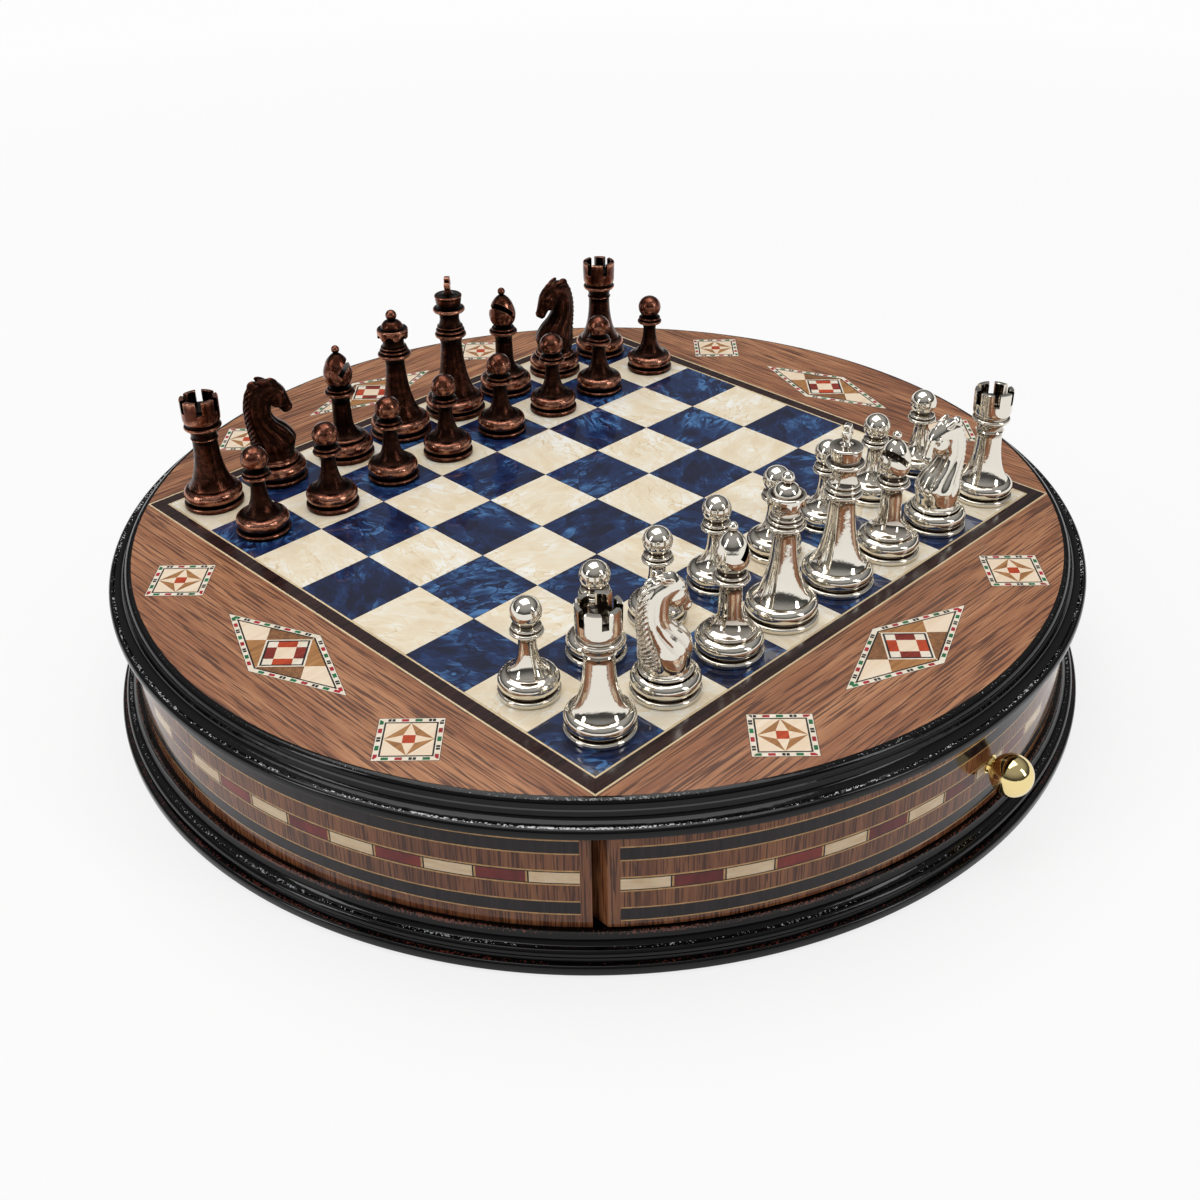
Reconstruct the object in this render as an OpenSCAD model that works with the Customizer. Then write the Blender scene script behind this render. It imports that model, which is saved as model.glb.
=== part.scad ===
// Round chess box with two drawers, set out with its 32 men.
// X runs along the files from a to h, Y along the ranks from 1 to 8, Z is up.
// The origin is on the ground, under the middle of the box. Sizes are in millimetres.

/* [Playing field] */
// Side of one square
square = 32; // [30:0.5:40]
// Open line between neighbouring squares
square_gap = 0.2; // [0.1:0.05:0.4]
// Thickness of the squares, veneers and inlays
veneer_t = 1; // [0.6:0.1:1.6]

/* [Board frame] */
// Width of each light stringing line
stringing_w = 0.8; // [0.5:0.1:1.2]
// Width of the dark frame between its two lines
frame_w = 5.2; // [3:0.2:8]

/* [Medallions] */
// Side of a square medallion
square_medallion = 22.4; // [16:0.2:26]
// Length of a diamond medallion along the board's side
diamond_l = 74; // [50:1:84]
// Width of a diamond medallion
diamond_w = 31; // [22:1:36]
// Gap between the points of a diamond and of the square medallion beside it
medallion_gap = 17.9; // [6:0.1:22]
// Side of the small square in the star of a square medallion
star_hub = 4.2; // [3:0.1:5]
// Width of the light line round the chequer in a diamond medallion
chequer_line = 0.65; // [0.4:0.05:0.9]
// Width of the dark line inside it
chequer_frame = 0.5; // [0.4:0.05:0.9]
// Gap between a diamond's inner corner and the chequer's
chequer_gap = 0.6; // [0.4:0.1:2]
// Width of a medallion's mosaic border
mosaic_w = 2.2; // [1.4:0.1:3]
// Width of the black line inside the mosaic border
mosaic_line = 0.6; // [0.4:0.1:1]

/* [Top] */
// Height of the top, from the wall to the playing field
top_h = 9.6; // [8:0.2:14]
// Width of the black moulding that shows round the veneer
moulding_w = 9.6; // [8.4:0.2:14]
// Width of the ledge on which the veneer covers the moulding
ledge_w = 3.4; // [2:0.2:6]
// How far the top moulding stands out over the wall
top_overhang = 5.5; // [3:0.5:7]

/* [Wall] */
// Height of the wall between the top and the base
wall_h = 41.6; // [38:0.2:60]
// Thickness of the fixed curved panels
panel_t = 8; // [5:0.5:10]
// Thickness of the straight boards that the drawers run between
case_t = 6; // [4:0.5:10]
// Thickness of the partition between the drawers
partition_t = 8; // [5:0.5:12]

/* [Base] */
// Height of the base moulding
base_h = 12.8; // [11:0.2:18]
// How far the base moulding stands out from the wall
base_out = 9; // [8:0.5:12]
// Thickness of the felt under the base
felt_t = 1; // [0.6:0.1:2]
// Thickness of the round base board
base_board_t = 9; // [6:0.5:10]

/* [Drawers] */
// Width across the end faces of a drawer front
drawer_w = 271; // [220:1:280]
// Open gap between a drawer front and the fixed panel beside it
front_gap = 3.2; // [2:0.1:5]
// How far a drawer front stands proud of the fixed panels
front_proud = 0.5; // [0:0.1:1.5]
// Thickness of a curved drawer front
front_t = 9; // [7:0.5:12]
// Clearance above and below a drawer front
front_clear = 0.5; // [0.3:0.1:1]
// Thickness of the drawer sides and back
side_t = 6; // [4:0.5:9]
// Gap between the drawer sides and the top
side_drop = 5.8; // [3:0.2:12]
// Thickness of the drawer bottom
bottom_t = 3; // [2:0.5:5]
// Thickness of the felt lining in a drawer
lining_t = 0.8; // [0.5:0.1:1.5]
// Running clearance between a drawer and its runners
run_clear = 0.3; // [0.2:0.1:0.6]
// Thickness of a runner's ledge, on which a drawer side slides
runner_t = 2; // [1.5:0.1:3]
// Width of a runner's ledge
runner_w = 11; // [8:0.5:16]
// Height of a runner's upright, which guides the drawer sideways
runner_h = 14; // [8:0.5:20]

/* [Knobs] */
// Radius of the brass ball
ball_r = 7.75; // [5:0.25:10]
// Length of the neck that shows between the ball and the drawer front
neck_l = 1.8; // [1:0.1:4]
// Radius of the neck
neck_r = 3; // [2.6:0.1:4]
// Radius of the knob screw
screw_r = 2; // [1.5:0.1:2.2]
// Radius of the knob screw's pan head
screw_head_r = 4; // [3:0.1:5]
// Height of the knob screw's pan head
screw_head_h = 2.4; // [1.6:0.1:3]

/* [Men] */
// Size of the men against a set with a 66.6 mm king
men_size = 1; // [0.85:0.01:1.12]

/* [Hidden] */
$fn = 96;
glue = 0.1;              // joint line between fitted wooden pieces
veneer_joint = 0.04;     // half of the joint line between neighbouring inlays
shank_clear = 0.05;      // clearance round the screw where it enters the knob
front_hole_clear = 0.25; // clearance round the screw in the drawer front

base_z = felt_t;                       // underside of the base moulding
wall_z = base_z + base_h;              // foot of the wall
top_z = wall_z + wall_h;               // underside of the top
board_z = top_z + top_h;               // playing surface
veneer_z = board_z - veneer_t;         // underside of the veneers

field = 4 * square;                    // half the playing field
frame_in = field + stringing_w;
frame_out = frame_in + frame_w;
frame_edge = frame_out + stringing_w;
corner_trim = 0.2;                     // the frame's corners are cut to the round edge
veneer_r = frame_edge * sqrt(2) - corner_trim;
moulding_r = veneer_r + moulding_w;
moulding_in = veneer_r - ledge_w;
wall_r = moulding_r - top_overhang;
panel_in = wall_r - panel_t;
base_r = wall_r + base_out;
base_in = wall_r - panel_t;

front_half = drawer_w / 2;
case_in = front_half + front_gap;      // inner face of the straight case boards
front_r = wall_r + front_proud;
front_in = front_r - front_t;
front_z = wall_z + front_clear;
front_h = wall_h - 2 * front_clear;
side_z = wall_z + runner_t + run_clear;
side_h = top_z - side_drop - side_z;     // height of the drawer sides
side_in = front_half - side_t;
bottom_z = side_z + 4;                 // the bottom sits 4 mm up in the drawer frame
back_y = partition_t / 2 + 2;          // outer face of a drawer's back, 2 mm off the partition
guide_t = front_gap - run_clear;       // thickness of a runner's upright
knob_z = wall_z + wall_h / 2 - 1.8;    // height of the knobs
knob_y = front_r + neck_l + ball_r;    // distance of a ball's centre from the middle
knob_flange_r = neck_r + 1.6;
knob_flange_t = 0.9;
knob_seat = 0.04;                      // the flat flange clears the curved front by this much
screw_seat = 1;                        // depth of the flat seat cut for the screw head
screw_bite = 6;                        // depth of the knob's threaded hole

medallion_mid = 0.5 * (frame_edge + veneer_r) - 5.4; // middle line of the medallions
medallion_side = (diamond_l + square_medallion * sqrt(2)) / 2 + medallion_gap; // and of a square one along it

// ---------------------------------------------------------------- the men

files = ["a", "b", "c", "d", "e", "f", "g", "h"];
officers = ["rook", "knight", "bishop", "queen", "king", "bishop", "knight", "rook"];

function man_name(set, kind, file) =
    kind == "king" || kind == "queen" ? str(set, "_", kind) : str(set, "_", kind, "_", files[file]);

// How each man stands, from file a to h: X and Y off the middle of its square, and its turn.
// A knight's muzzle, a bishop's cut, a king's arms and the first slot of a rook point along the turn.
silver_officer_stand = [[2.4, 0.2, 2], [1.2, -0.6, -12], [1.8, -1, -20], [0.4, 0.2, 10],
                        [1.4, -0.5, 17], [1.4, -1, -177], [0, -2.4, 165], [3, -3, 41]];
silver_pawn_stand = [[0, 0.2, 0], [0, 0, 0], [0, 0.2, 0], [0, 0, 0],
                     [1.8, -1.3, 0], [1.4, -2, 0], [2, -2, 0], [2.6, -2.6, 0]];
copper_officer_stand = [[-1.6, 4.2, -2], [-1.6, 3.6, -12], [0, 0, -33], [-0.5, 0.5, 15],
                        [0, 0, 45], [0.1, -0.1, -165], [0.6, -0.6, 172], [0.65, -0.65, 10]];
copper_pawn_stand = [[-0.4, 0.7, 0], [0.1, -2, 0], [1.4, -0.7, 0], [0.6, -0.3, 0],
                     [0.6, -0.6, 0], [1, -1, 0], [-0.2, -1.2, 0], [3.6, -1.2, 0]];

// Each man: name, set, kind, file, rank, stand
MEN = concat(
    [for (f = [0:7]) [man_name("silver", officers[f], f), "silver", officers[f], f, 0, silver_officer_stand[f]]],
    [for (f = [0:7]) [man_name("silver", "pawn", f), "silver", "pawn", f, 1, silver_pawn_stand[f]]],
    [for (f = [0:7]) [man_name("copper", officers[f], f), "copper", officers[f], f, 7, copper_officer_stand[f]]],
    [for (f = [0:7]) [man_name("copper", "pawn", f), "copper", "pawn", f, 6, copper_pawn_stand[f]]]
);

// ---------------------------------------------------------------- outline helpers

// Points of a circular arc about c, from angle a to angle b
function arc(c, r, a, b, n = 6) =
    [for (i = [0:n]) let (t = a + (b - a) * i / n) [c[0] + r * cos(t), c[1] + r * sin(t)]];

// Points of a smooth curve from p to q that leans towards c
function curve(p, c, q, n = 7) =
    [for (i = [0:n]) let (t = i / n) (1 - t) * (1 - t) * p + 2 * t * (1 - t) * c + t * t * q];

// Points of a round bead of height h whose widest point is at radius r and height z
function bead(r, z, h) = arc([r - h / 2, z], h / 2, -90, 90);

module ring(outer, inner, h) {
    difference() {
        cylinder(r = outer, h = h);
        translate([0, 0, -1]) cylinder(r = inner, h = h + 2);
    }
}

// Half of the plane on the -Y side, between the end faces of a drawer
module drawer_bay(half_w, z, h) {
    translate([-half_w, -2 * wall_r, z]) cube([2 * half_w, 2 * wall_r, h]);
}

// ---------------------------------------------------------------- base and wall

module base_board() {
    color("burlywood")
    translate([0, 0, wall_z - base_board_t]) cylinder(r = base_in - glue, h = base_board_t);
}

module base_moulding() {
    cove_z = wall_z - 4.6;
    bead_z = wall_z - 6.4;
    foot_z = wall_z - 9;
    color([0.05, 0.05, 0.05])
    rotate_extrude($fn = 192)
    polygon(concat(
        [[base_in, base_z], [base_r - 0.8, base_z]],
        curve([base_r - 0.8, base_z], [base_r, base_z], [base_r, base_z + 0.8], 3),
        curve([base_r, max(foot_z - 1.2, base_z + 0.8)], [base_r, foot_z], [base_r - 1.2, foot_z], 4),
        [[base_r - 2.7, foot_z + 0.3]],
        arc([base_r - 4, bead_z], 1.8, -50, 90),
        curve([base_r - 4, cove_z + 0.1], [base_r - 6.2, cove_z + 0.6], [base_r - 6.8, wall_z - 1], 6),
        [[base_r - 6.8, wall_z], [base_in, wall_z]]
    ));
}

module base_felt() {
    color("darkolivegreen") cylinder(r = base_r - 2.5, h = felt_t);
}

module side_panels() {
    color("saddlebrown")
    for (side = [0, 180]) rotate([0, 0, side])
        intersection() {
            translate([0, 0, wall_z]) ring(wall_r, panel_in, wall_h);
            translate([case_in, -2 * wall_r, wall_z - 1]) cube([2 * wall_r, 4 * wall_r, wall_h + 2]);
        }
}

module case_sides() {
    color("peru")
    for (side = [-1, 1])
        intersection() {
            translate([side > 0 ? case_in : -case_in - case_t, -wall_r, wall_z])
                cube([case_t, 2 * wall_r, wall_h]);
            translate([0, 0, wall_z - 1]) cylinder(r = panel_in - glue, h = wall_h + 2);
        }
}

module partition() {
    color("peru")
    translate([-case_in, -partition_t / 2, wall_z]) cube([2 * case_in, partition_t, wall_h]);
}

// One L-shaped runner along each side of each drawer
module drawer_runners() {
    length = sqrt(pow(panel_in - glue, 2) - pow(case_in, 2)) - partition_t / 2;
    color("wheat")
    for (side = [-1, 1], end = [0, 180]) rotate([0, 0, end])
        mirror([side < 0 ? 1 : 0, 0, 0])
            translate([0, -length - partition_t / 2, wall_z]) {
                translate([case_in - guide_t - runner_w, 0, 0]) cube([guide_t + runner_w, length, runner_t]);
                translate([case_in - guide_t, 0, 0]) cube([guide_t, length, runner_h]);
            }
}

// ---------------------------------------------------------------- top

module top_board() {
    color("burlywood")
    translate([0, 0, top_z]) cylinder(r = moulding_in - glue, h = top_h - veneer_t);
}

module top_moulding() {
    lip_z = board_z - 3;
    cove_z = board_z - 4.8;
    bead_z = board_z - 6.2;
    color([0.05, 0.05, 0.05])
    rotate_extrude($fn = 192)
    polygon(concat(
        [[moulding_in, top_z], [moulding_r - 0.6, top_z]],
        curve([moulding_r - 0.6, top_z], [moulding_r, top_z], [moulding_r, top_z + 0.6], 3),
        curve([moulding_r, max(bead_z - 1.6, top_z + 0.6)], [moulding_r, bead_z], [moulding_r - 1.8, bead_z], 5),
        [[moulding_r - 2.4, bead_z - 0.3]],
        curve([moulding_r - 2.6, bead_z], [moulding_r - 5.4, bead_z], [moulding_r - 5.8, cove_z], 6),
        [[moulding_r - 5.8, lip_z - 0.2], [moulding_r - 6.8, lip_z]],
        curve([moulding_r - 6.8, lip_z], [moulding_r - 6.8, board_z], [veneer_r + glue, board_z], 6),
        [[veneer_r + glue, veneer_z], [moulding_in, veneer_z]]
    ));
}

module on_board(t = veneer_t) { translate([0, 0, board_z - t]) linear_extrude(t) children(); }

// The four places along one side, then the same along the others
module at_square_medallions() {
    for (side = [0:90:270], end = [-1, 1]) rotate([0, 0, side])
        translate([end * medallion_side, -medallion_mid]) rotate(45) children();
}

module at_diamond_medallions() {
    for (side = [0:90:270]) rotate([0, 0, side]) translate([0, -medallion_mid]) children();
}

module diamond(l, w) { polygon([[-l / 2, 0], [0, -w / 2], [l / 2, 0], [0, w / 2]]); }

// A diamond drawn in by d on every side
function half_l_in(d) = diamond_l / 2 - d * sqrt(pow(diamond_l, 2) + pow(diamond_w, 2)) / diamond_w;
function half_w_in(d) = half_l_in(d) * diamond_w / diamond_l;
module diamond_in(d) { diamond(2 * half_l_in(d), 2 * half_w_in(d)); }

// Four veneers with their grain along the board's sides, mitred at the frame's corners
module walnut_segments() {
    color("sienna")
    on_board()
    difference() {
        circle(r = veneer_r, $fn = 192);
        square(2 * frame_edge, center = true);
        at_square_medallions() square(square_medallion, center = true);
        at_diamond_medallions() diamond(diamond_l, diamond_w);
    }
}

// A flat inlay, cut smaller by the joint line round it
module cut() { offset(delta = -veneer_joint) children(); }

// One side of a mitred square frame between the half sides a and b
module mitred_side(a, b) { cut() polygon([[-a, -a], [a, -a], [b, -b], [-b, -b]]); }

module board_frame() {
    color([0.2, 0.14, 0.12])
    for (side = [0:90:270]) rotate([0, 0, side]) on_board() mitred_side(frame_in, frame_out);
}

module stringing() {
    color("moccasin")
    on_board()
    intersection() {
        circle(r = veneer_r, $fn = 192);
        for (side = [0:90:270]) rotate([0, 0, side]) {
            mitred_side(field, frame_in);
            mitred_side(frame_out, frame_edge);
        }
    }
}

module squares(light) {
    for (f = [0:7], r = [0:7]) if ((f + r) % 2 == (light ? 1 : 0))
        translate([(f - 3.5) * square, (r - 3.5) * square, veneer_z])
            linear_extrude(veneer_t) square(square - square_gap, center = true);
}

module light_squares() { color("cornsilk") squares(true); }

module dark_squares() { color([0.1, 0.2, 0.45]) squares(false); }

module square_ring(outer, inner) {
    cut() difference() { square(outer, center = true); square(inner, center = true); }
}

// A border, a fine line, and a star round a small square, set in a larger turned square
module square_medallions() {
    line_side = square_medallion - 2 * mosaic_w;
    half = line_side / 2 - mosaic_line;
    hub = star_hub / 2;
    color("bisque")
    on_board()
    at_square_medallions() {
        square_ring(square_medallion, line_side);
        square_ring(line_side, 2 * half);
        for (side = [0:90:270]) rotate(side) {
            cut() polygon([[half, half], [0, half], [half, 0]]);
            cut() polygon([[0, half], [hub, hub], [half, 0]]);
            cut() polygon([[hub, hub], [0, half], [-hub, hub]]);
        }
        cut() square(star_hub, center = true);
    }
}

// A border, a fine line and a framed chequer; the lines of the chequer's sides run on to divide the ends
module diamond_medallions() {
    inset = mosaic_w + mosaic_line;
    half_l = half_l_in(inset);
    half_w = half_w_in(inset);
    corner = half_w - chequer_gap;
    reach = half_w * (half_l - corner) / (half_l + half_w);
    side = corner * sqrt(2);
    field = side - 2 * (chequer_line + chequer_frame);
    color("bisque")
    on_board()
    at_diamond_medallions() {
        cut() difference() { diamond(diamond_l, diamond_w); diamond_in(mosaic_w); }
        cut() difference() { diamond_in(mosaic_w); diamond_in(inset); }
        for (end = [0, 1]) mirror([end, 0]) {
            cut() polygon([[half_l, 0], [corner + reach, reach], [corner, 0], [corner + reach, -reach]]);
            for (flank = [0, 1]) mirror([0, flank])
                cut() polygon([[corner, 0], [corner + reach, reach], [0, half_w], [0, corner]]);
        }
        rotate(45) {
            square_ring(side, side - 2 * chequer_line);
            square_ring(side - 2 * chequer_line, field);
            for (column = [-1:1], row = [-1:1])
                translate([column, row] * field * 3 / 8)
                    cut() square([column == 0 ? 2 : 1, row == 0 ? 2 : 1] * field / 4, center = true);
        }
    }
}

// ---------------------------------------------------------------- drawers

// Everything below is drawn for the drawer on the -Y side and turned for the other
module near() { children(); }
module far() { rotate([0, 0, 180]) children(); }

module drawer_front() {
    color("saddlebrown")
    difference() {
        intersection() {
            translate([0, 0, front_z]) ring(front_r, front_in, front_h);
            drawer_bay(front_half, front_z - 1, front_h + 2);
        }
        translate([0, 0, knob_z]) rotate([90, 0, 0]) {
            cylinder(r = screw_r + front_hole_clear, h = 2 * wall_r, $fn = 32);
            cylinder(r = screw_head_r + 0.4, h = front_in + screw_seat, $fn = 32);
        }
    }
}

module drawer_frame() {
    color("burlywood") {
        for (side = [-1, 1])
            intersection() {
                translate([side > 0 ? side_in : -front_half, -wall_r, side_z])
                    cube([side_t, wall_r - back_y, side_h]);
                translate([0, 0, side_z - 1]) cylinder(r = front_in - glue, h = side_h + 2);
            }
        translate([glue - side_in, -back_y - side_t, side_z])
            cube([2 * (side_in - glue), side_t, side_h]);
    }
}

module drawer_floor(z, t) {
    intersection() {
        translate([glue - side_in, -wall_r, z])
            cube([2 * (side_in - glue), wall_r - back_y - side_t - glue, t]);
        translate([0, 0, z - 1]) cylinder(r = front_in - glue, h = t + 2);
    }
}

module drawer_bottom() { color("burlywood") drawer_floor(bottom_z, bottom_t); }

module drawer_lining() { color("darkgreen") drawer_floor(bottom_z + bottom_t, lining_t); }

// A ball on a short neck with a thin flange, turned in one piece and drilled for its screw
module drawer_knob() {
    flange_y = front_r + knob_seat;
    neck_meet = asin(neck_r / ball_r);
    color("gold")
    translate([0, 0, knob_z]) rotate([90, 0, 0])
        difference() {
            rotate_extrude()
            polygon(concat(
                [[0, flange_y], [knob_flange_r, flange_y], [knob_flange_r, flange_y + knob_flange_t * 0.5],
                 [neck_r, flange_y + knob_flange_t]],
                arc([0, knob_y], ball_r, neck_meet - 90, 90, 24)
            ));
            cylinder(r = screw_r, h = flange_y + screw_bite, $fn = 32);
        }
}

module drawer_screw() {
    head_y = front_in + screw_seat;
    color("silver")
    translate([0, 0, knob_z]) rotate([90, 0, 0])
        difference() {
            union() {
                translate([0, 0, head_y])
                    cylinder(r = screw_r - shank_clear, h = front_r + screw_bite - 1 - head_y, $fn = 32);
                translate([0, 0, head_y - screw_head_h])
                    cylinder(r1 = screw_head_r - 0.8, r2 = screw_head_r, h = screw_head_h, $fn = 32);
            }
            translate([-0.5, -screw_head_r, head_y - screw_head_h - 1]) cube([1, 2 * screw_head_r, 2]);
        }
}

// ---------------------------------------------------------------- men

// The stepped foot that every man stands on: a thin disc, a groove and a broad bead
function foot(r, bead_r) = concat(
    [[0, 0], [r - 0.7, 0], [r, 0.7], [r, 1.7], [r - 0.8, 2.3], [bead_r - 1.2, 2.8]],
    bead(bead_r, 5.9, 5.2));

module turned(outline) { rotate_extrude($fn = 64) polygon(outline); }

module pawn() {
    turned(concat(
        foot(11.1, 10.8),
        [[6.9, 8.8]],
        curve([6.3, 9.5], [3.3, 13], [3.1, 21.4]),
        curve([3.1, 22], [3.3, 24], [4.9, 24.4], 3),
        bead(5.95, 25.2, 1.6),
        bead(5.3, 27, 1.3),
        arc([0, 32.6], 5.5, -50, 90, 12)));
}

module rook() {
    drum_r = 7.95;
    cup_r = 5.9;
    top = 49;
    merlons = 6;
    slot_w = 2.4;
    slot_h = 5.6;
    difference() {
        turned(concat(
            foot(12.4, 12.2),
            [[9.5, 8.8]],
            curve([9.1, 9.6], [5.2, 16], [5.2, 30.6]),
            [[5.8, 31], [5.3, 31.6]],
            curve([5.3, 32.2], [5.6, 34.6], [6.9, 35.2], 3),
            bead(7.8, 36.1, 1.8),
            [[6.8, 37.4]],
            curve([6.8, 37.9], [7.7, 38.2], [7.75, 40.4], 4),
            [[drum_r, top], [cup_r, top], [cup_r, top - 5], [0, top - 5]]));
        for (slot = [0:merlons - 1]) rotate([0, 0, slot * 360 / merlons])
            translate([4.6, -slot_w / 2, top - slot_h]) cube([drum_r, slot_w, slot_h + 1]);
    }
}

module bishop() {
    difference() {
        turned(concat(
            foot(12.6, 12.3),
            bead(9.3, 9.4, 1.8),
            curve([8.2, 10.4], [4.6, 11.8], [4.3, 17]),
            [[4.0, 25]],
            curve([4.0, 26.4], [4.3, 29], [5.8, 29.8], 4),
            bead(6.75, 30.7, 1.6),
            bead(5.3, 32.4, 1.3),
            curve([3.9, 33.4], [8, 37.8], [5.3, 43.8], 9),
            curve([5, 44.8], [3.6, 47.6], [1.1, 49.2], 5),
            arc([0, 50.8], 1.8, -50, 90, 7)));
        // The steep cut in the mitre
        translate([1.2, 0, 38.4]) rotate([0, -70, 0]) translate([0, -8, -1.1]) cube([12, 16, 2.2]);
    }
}

module queen() {
    scallops = 7;
    difference() {
        turned(concat(
            foot(14, 13.5),
            [[10.4, 8.8]],
            curve([9.6, 10], [5.2, 17], [4.3, 34.2]),
            curve([4.3, 35], [4.6, 37.4], [6.4, 38], 4),
            bead(7.5, 38.9, 1.6),
            bead(6.5, 40.7, 1.3),
            bead(5.9, 42.3, 1.2),
            curve([5, 43.2], [4.4, 45.4], [5.4, 46.8], 5),
            [[6.8, 47], [7, 50.4], [6.6, 51.3], [5.4, 51.2]],
            curve([5.2, 51.2], [4.4, 54.6], [1.6, 55.4], 5),
            arc([0, 57.3], 2.5, -50, 90, 8)));
        for (scallop = [0:scallops - 1]) rotate([0, 0, scallop * 360 / scallops])
            translate([5.6, 0, 47]) rotate([0, 90, 0]) cylinder(r = 2, h = 4, $fn = 24);
    }
}

module king() {
    turned(concat(
        foot(14.1, 13.7),
        [[10.6, 8.8]],
        curve([9.7, 10], [5.8, 16.5], [4.9, 34.2]),
        curve([4.9, 35], [5.2, 37.2], [6.5, 37.9], 4),
        bead(7.3, 38.9, 1.8),
        bead(6.7, 41, 1.4),
        bead(6, 42.8, 1.2),
        curve([5.2, 43.8], [3.9, 46.6], [5, 49.6], 5),
        bead(7.4, 51.2, 1.9),
        [[5.5, 52.5]],
        curve([5.5, 52.8], [5.9, 55], [6.1, 57], 3),
        bead(6.35, 57.6, 1.2),
        [[5.6, 58], [2.3, 58.2], [1.9, 59], [0, 59]]));
    cross();
}

// A cross with flared arms, standing on the crown
module cross() {
    arm = [[-0.8, 0], [-1.7, 3], [1.7, 3], [0.8, 0]];
    translate([0, 0, 58]) linear_extrude(2.4) square([2.4, 2], center = true);
    translate([0, 1, 62.4]) rotate([90, 0, 0]) linear_extrude(2) {
        for (side = [0:90:270]) rotate(side) translate([0, 1.2]) polygon(arm);
        square(2.6, center = true);
    }
}

// Stations up the knight's neck and along its head:
// middle x, middle z, angle of the spine, half depth, half width
knight_stations = [
    [-0.2, 10.4, 90, 8.3, 8.2],
    [-0.3, 14.2, 91, 8.9, 8.5],
    [0, 18.2, 94, 9.6, 8.3],
    [-1.6, 22.4, 102, 8.4, 7],
    [-4.1, 26.8, 99, 6.7, 5.6],
    [-5.5, 31.2, 91, 5.8, 4.9],
    [-5.2, 35.8, 78, 5.9, 4.5],
    [-3.6, 40, 50, 6.1, 4.1],
    [0.3, 41, -8, 5.3, 3.9],
    [3.4, 38.6, -46, 4.7, 3.5],
    [5.6, 35.2, -56, 3.5, 2.7],
    [7, 32.6, -58, 2.8, 2.3],
    [7.8, 31.2, -58, 2.6, 2.3],
    [8.4, 30.1, -58, 1.5, 1.4]
];

// A smooth value between stations: s counts stations
function station(s) =
    let (n = len(knight_stations) - 1, i = min(floor(s), n - 1), t = s - i,
         a = knight_stations[max(i - 1, 0)], b = knight_stations[i],
         c = knight_stations[i + 1], d = knight_stations[min(i + 2, n)])
    b + 0.5 * t * ((c - a) + t * ((2 * a - 5 * b + 4 * c - d) + t * (3 * (b - c) + d - a)));

knight_rings = 38;
knight_sides = 16;

// The neck and head as one swept solid; the back of the neck is ridged as a mane
module knight_body() {
    rings = [for (k = [0:knight_rings - 1])
        let (s = k * (len(knight_stations) - 1) / (knight_rings - 1), p = station(s),
             mane = s > 1.5 && s < 7.5 ? (k % 2 == 0 ? 1.08 : 0.94) : 1)
        [for (j = [0:knight_sides - 1])
            let (a = j * 360 / knight_sides, back = cos(a) < -0.6 ? mane : 1,
                 x = p[3] * cos(a) * back, y = p[4] * sin(a))
            [p[0] + x * sin(p[2]), y, p[1] - x * cos(p[2])]]];
    last = knight_rings * knight_sides;
    knight_tip = knight_stations[len(knight_stations) - 1];
    polyhedron(
        points = concat([for (r = rings) for (q = r) q],
                        [[knight_stations[0][0], 0, knight_stations[0][1]],
                         [knight_tip[0] + 0.4, 0, knight_tip[1] - 0.6]]),
        faces = concat(
            [for (k = [0:knight_rings - 2], j = [0:knight_sides - 1]) let (m = (j + 1) % knight_sides)
                [k * knight_sides + j, (k + 1) * knight_sides + j, (k + 1) * knight_sides + m]],
            [for (k = [0:knight_rings - 2], j = [0:knight_sides - 1]) let (m = (j + 1) % knight_sides)
                [k * knight_sides + j, (k + 1) * knight_sides + m, k * knight_sides + m]],
            [for (j = [0:knight_sides - 1]) [last, j, (j + 1) % knight_sides]],
            [for (j = [0:knight_sides - 1]) let (o = (knight_rings - 1) * knight_sides)
                [last + 1, o + (j + 1) % knight_sides, o + j]]));
}

module knight() {
    turned(concat(
        foot(12.6, 12.3),
        bead(9.6, 9.5, 1.8),
        [[8.4, 10.4], [8.4, 11.2], [0, 11.2]]));
    knight_body();
    // The ears laid back along the head, and the crest of the mane
    for (side = [-1, 1])
        translate([1.6, side * 2.1, 43.2]) rotate([side * -6, -36, 0]) cylinder(r1 = 1.6, r2 = 0.6, h = 5, $fn = 24);
    translate([-5.2, 0, 41.6]) rotate([0, -16, 0]) scale([1.2, 0.8, 1]) cylinder(r1 = 2.4, r2 = 1.2, h = 4.9, $fn = 24);
}

module man(kind) {
    if (kind == "pawn") pawn();
    if (kind == "rook") rook();
    if (kind == "knight") knight();
    if (kind == "bishop") bishop();
    if (kind == "queen") queen();
    if (kind == "king") king();
}

module placed_man(m) {
    color(m[1] == "silver" ? [0.8, 0.78, 0.74] : [0.42, 0.22, 0.16])
    translate([(m[3] - 3.5) * square + m[5][0], (m[4] - 3.5) * square + m[5][1], board_z])
        rotate([0, 0, m[5][2]]) scale(men_size) man(m[2]);
}

// ---------------------------------------------------------------- nodes

base_board();
base_moulding();
base_felt();
side_panels();
case_sides();
partition();
drawer_runners();
top_board();
top_moulding();
walnut_segments();
board_frame();
stringing();
light_squares();
dark_squares();
square_medallions();
diamond_medallions();
near() drawer_front();  // near_drawer_front
near() drawer_frame();  // near_drawer_frame
near() drawer_bottom();  // near_drawer_bottom
near() drawer_lining();  // near_drawer_lining
near() drawer_knob();  // near_drawer_knob
near() drawer_screw();  // near_drawer_screw
far() drawer_front();  // far_drawer_front
far() drawer_frame();  // far_drawer_frame
far() drawer_bottom();  // far_drawer_bottom
far() drawer_lining();  // far_drawer_lining
far() drawer_knob();  // far_drawer_knob
far() drawer_screw();  // far_drawer_screw
for (m = MEN) placed_man(m);
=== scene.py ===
from math import asin, atan2, cos, degrees, dist, exp, hypot, pi, radians, sin, sqrt

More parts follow.
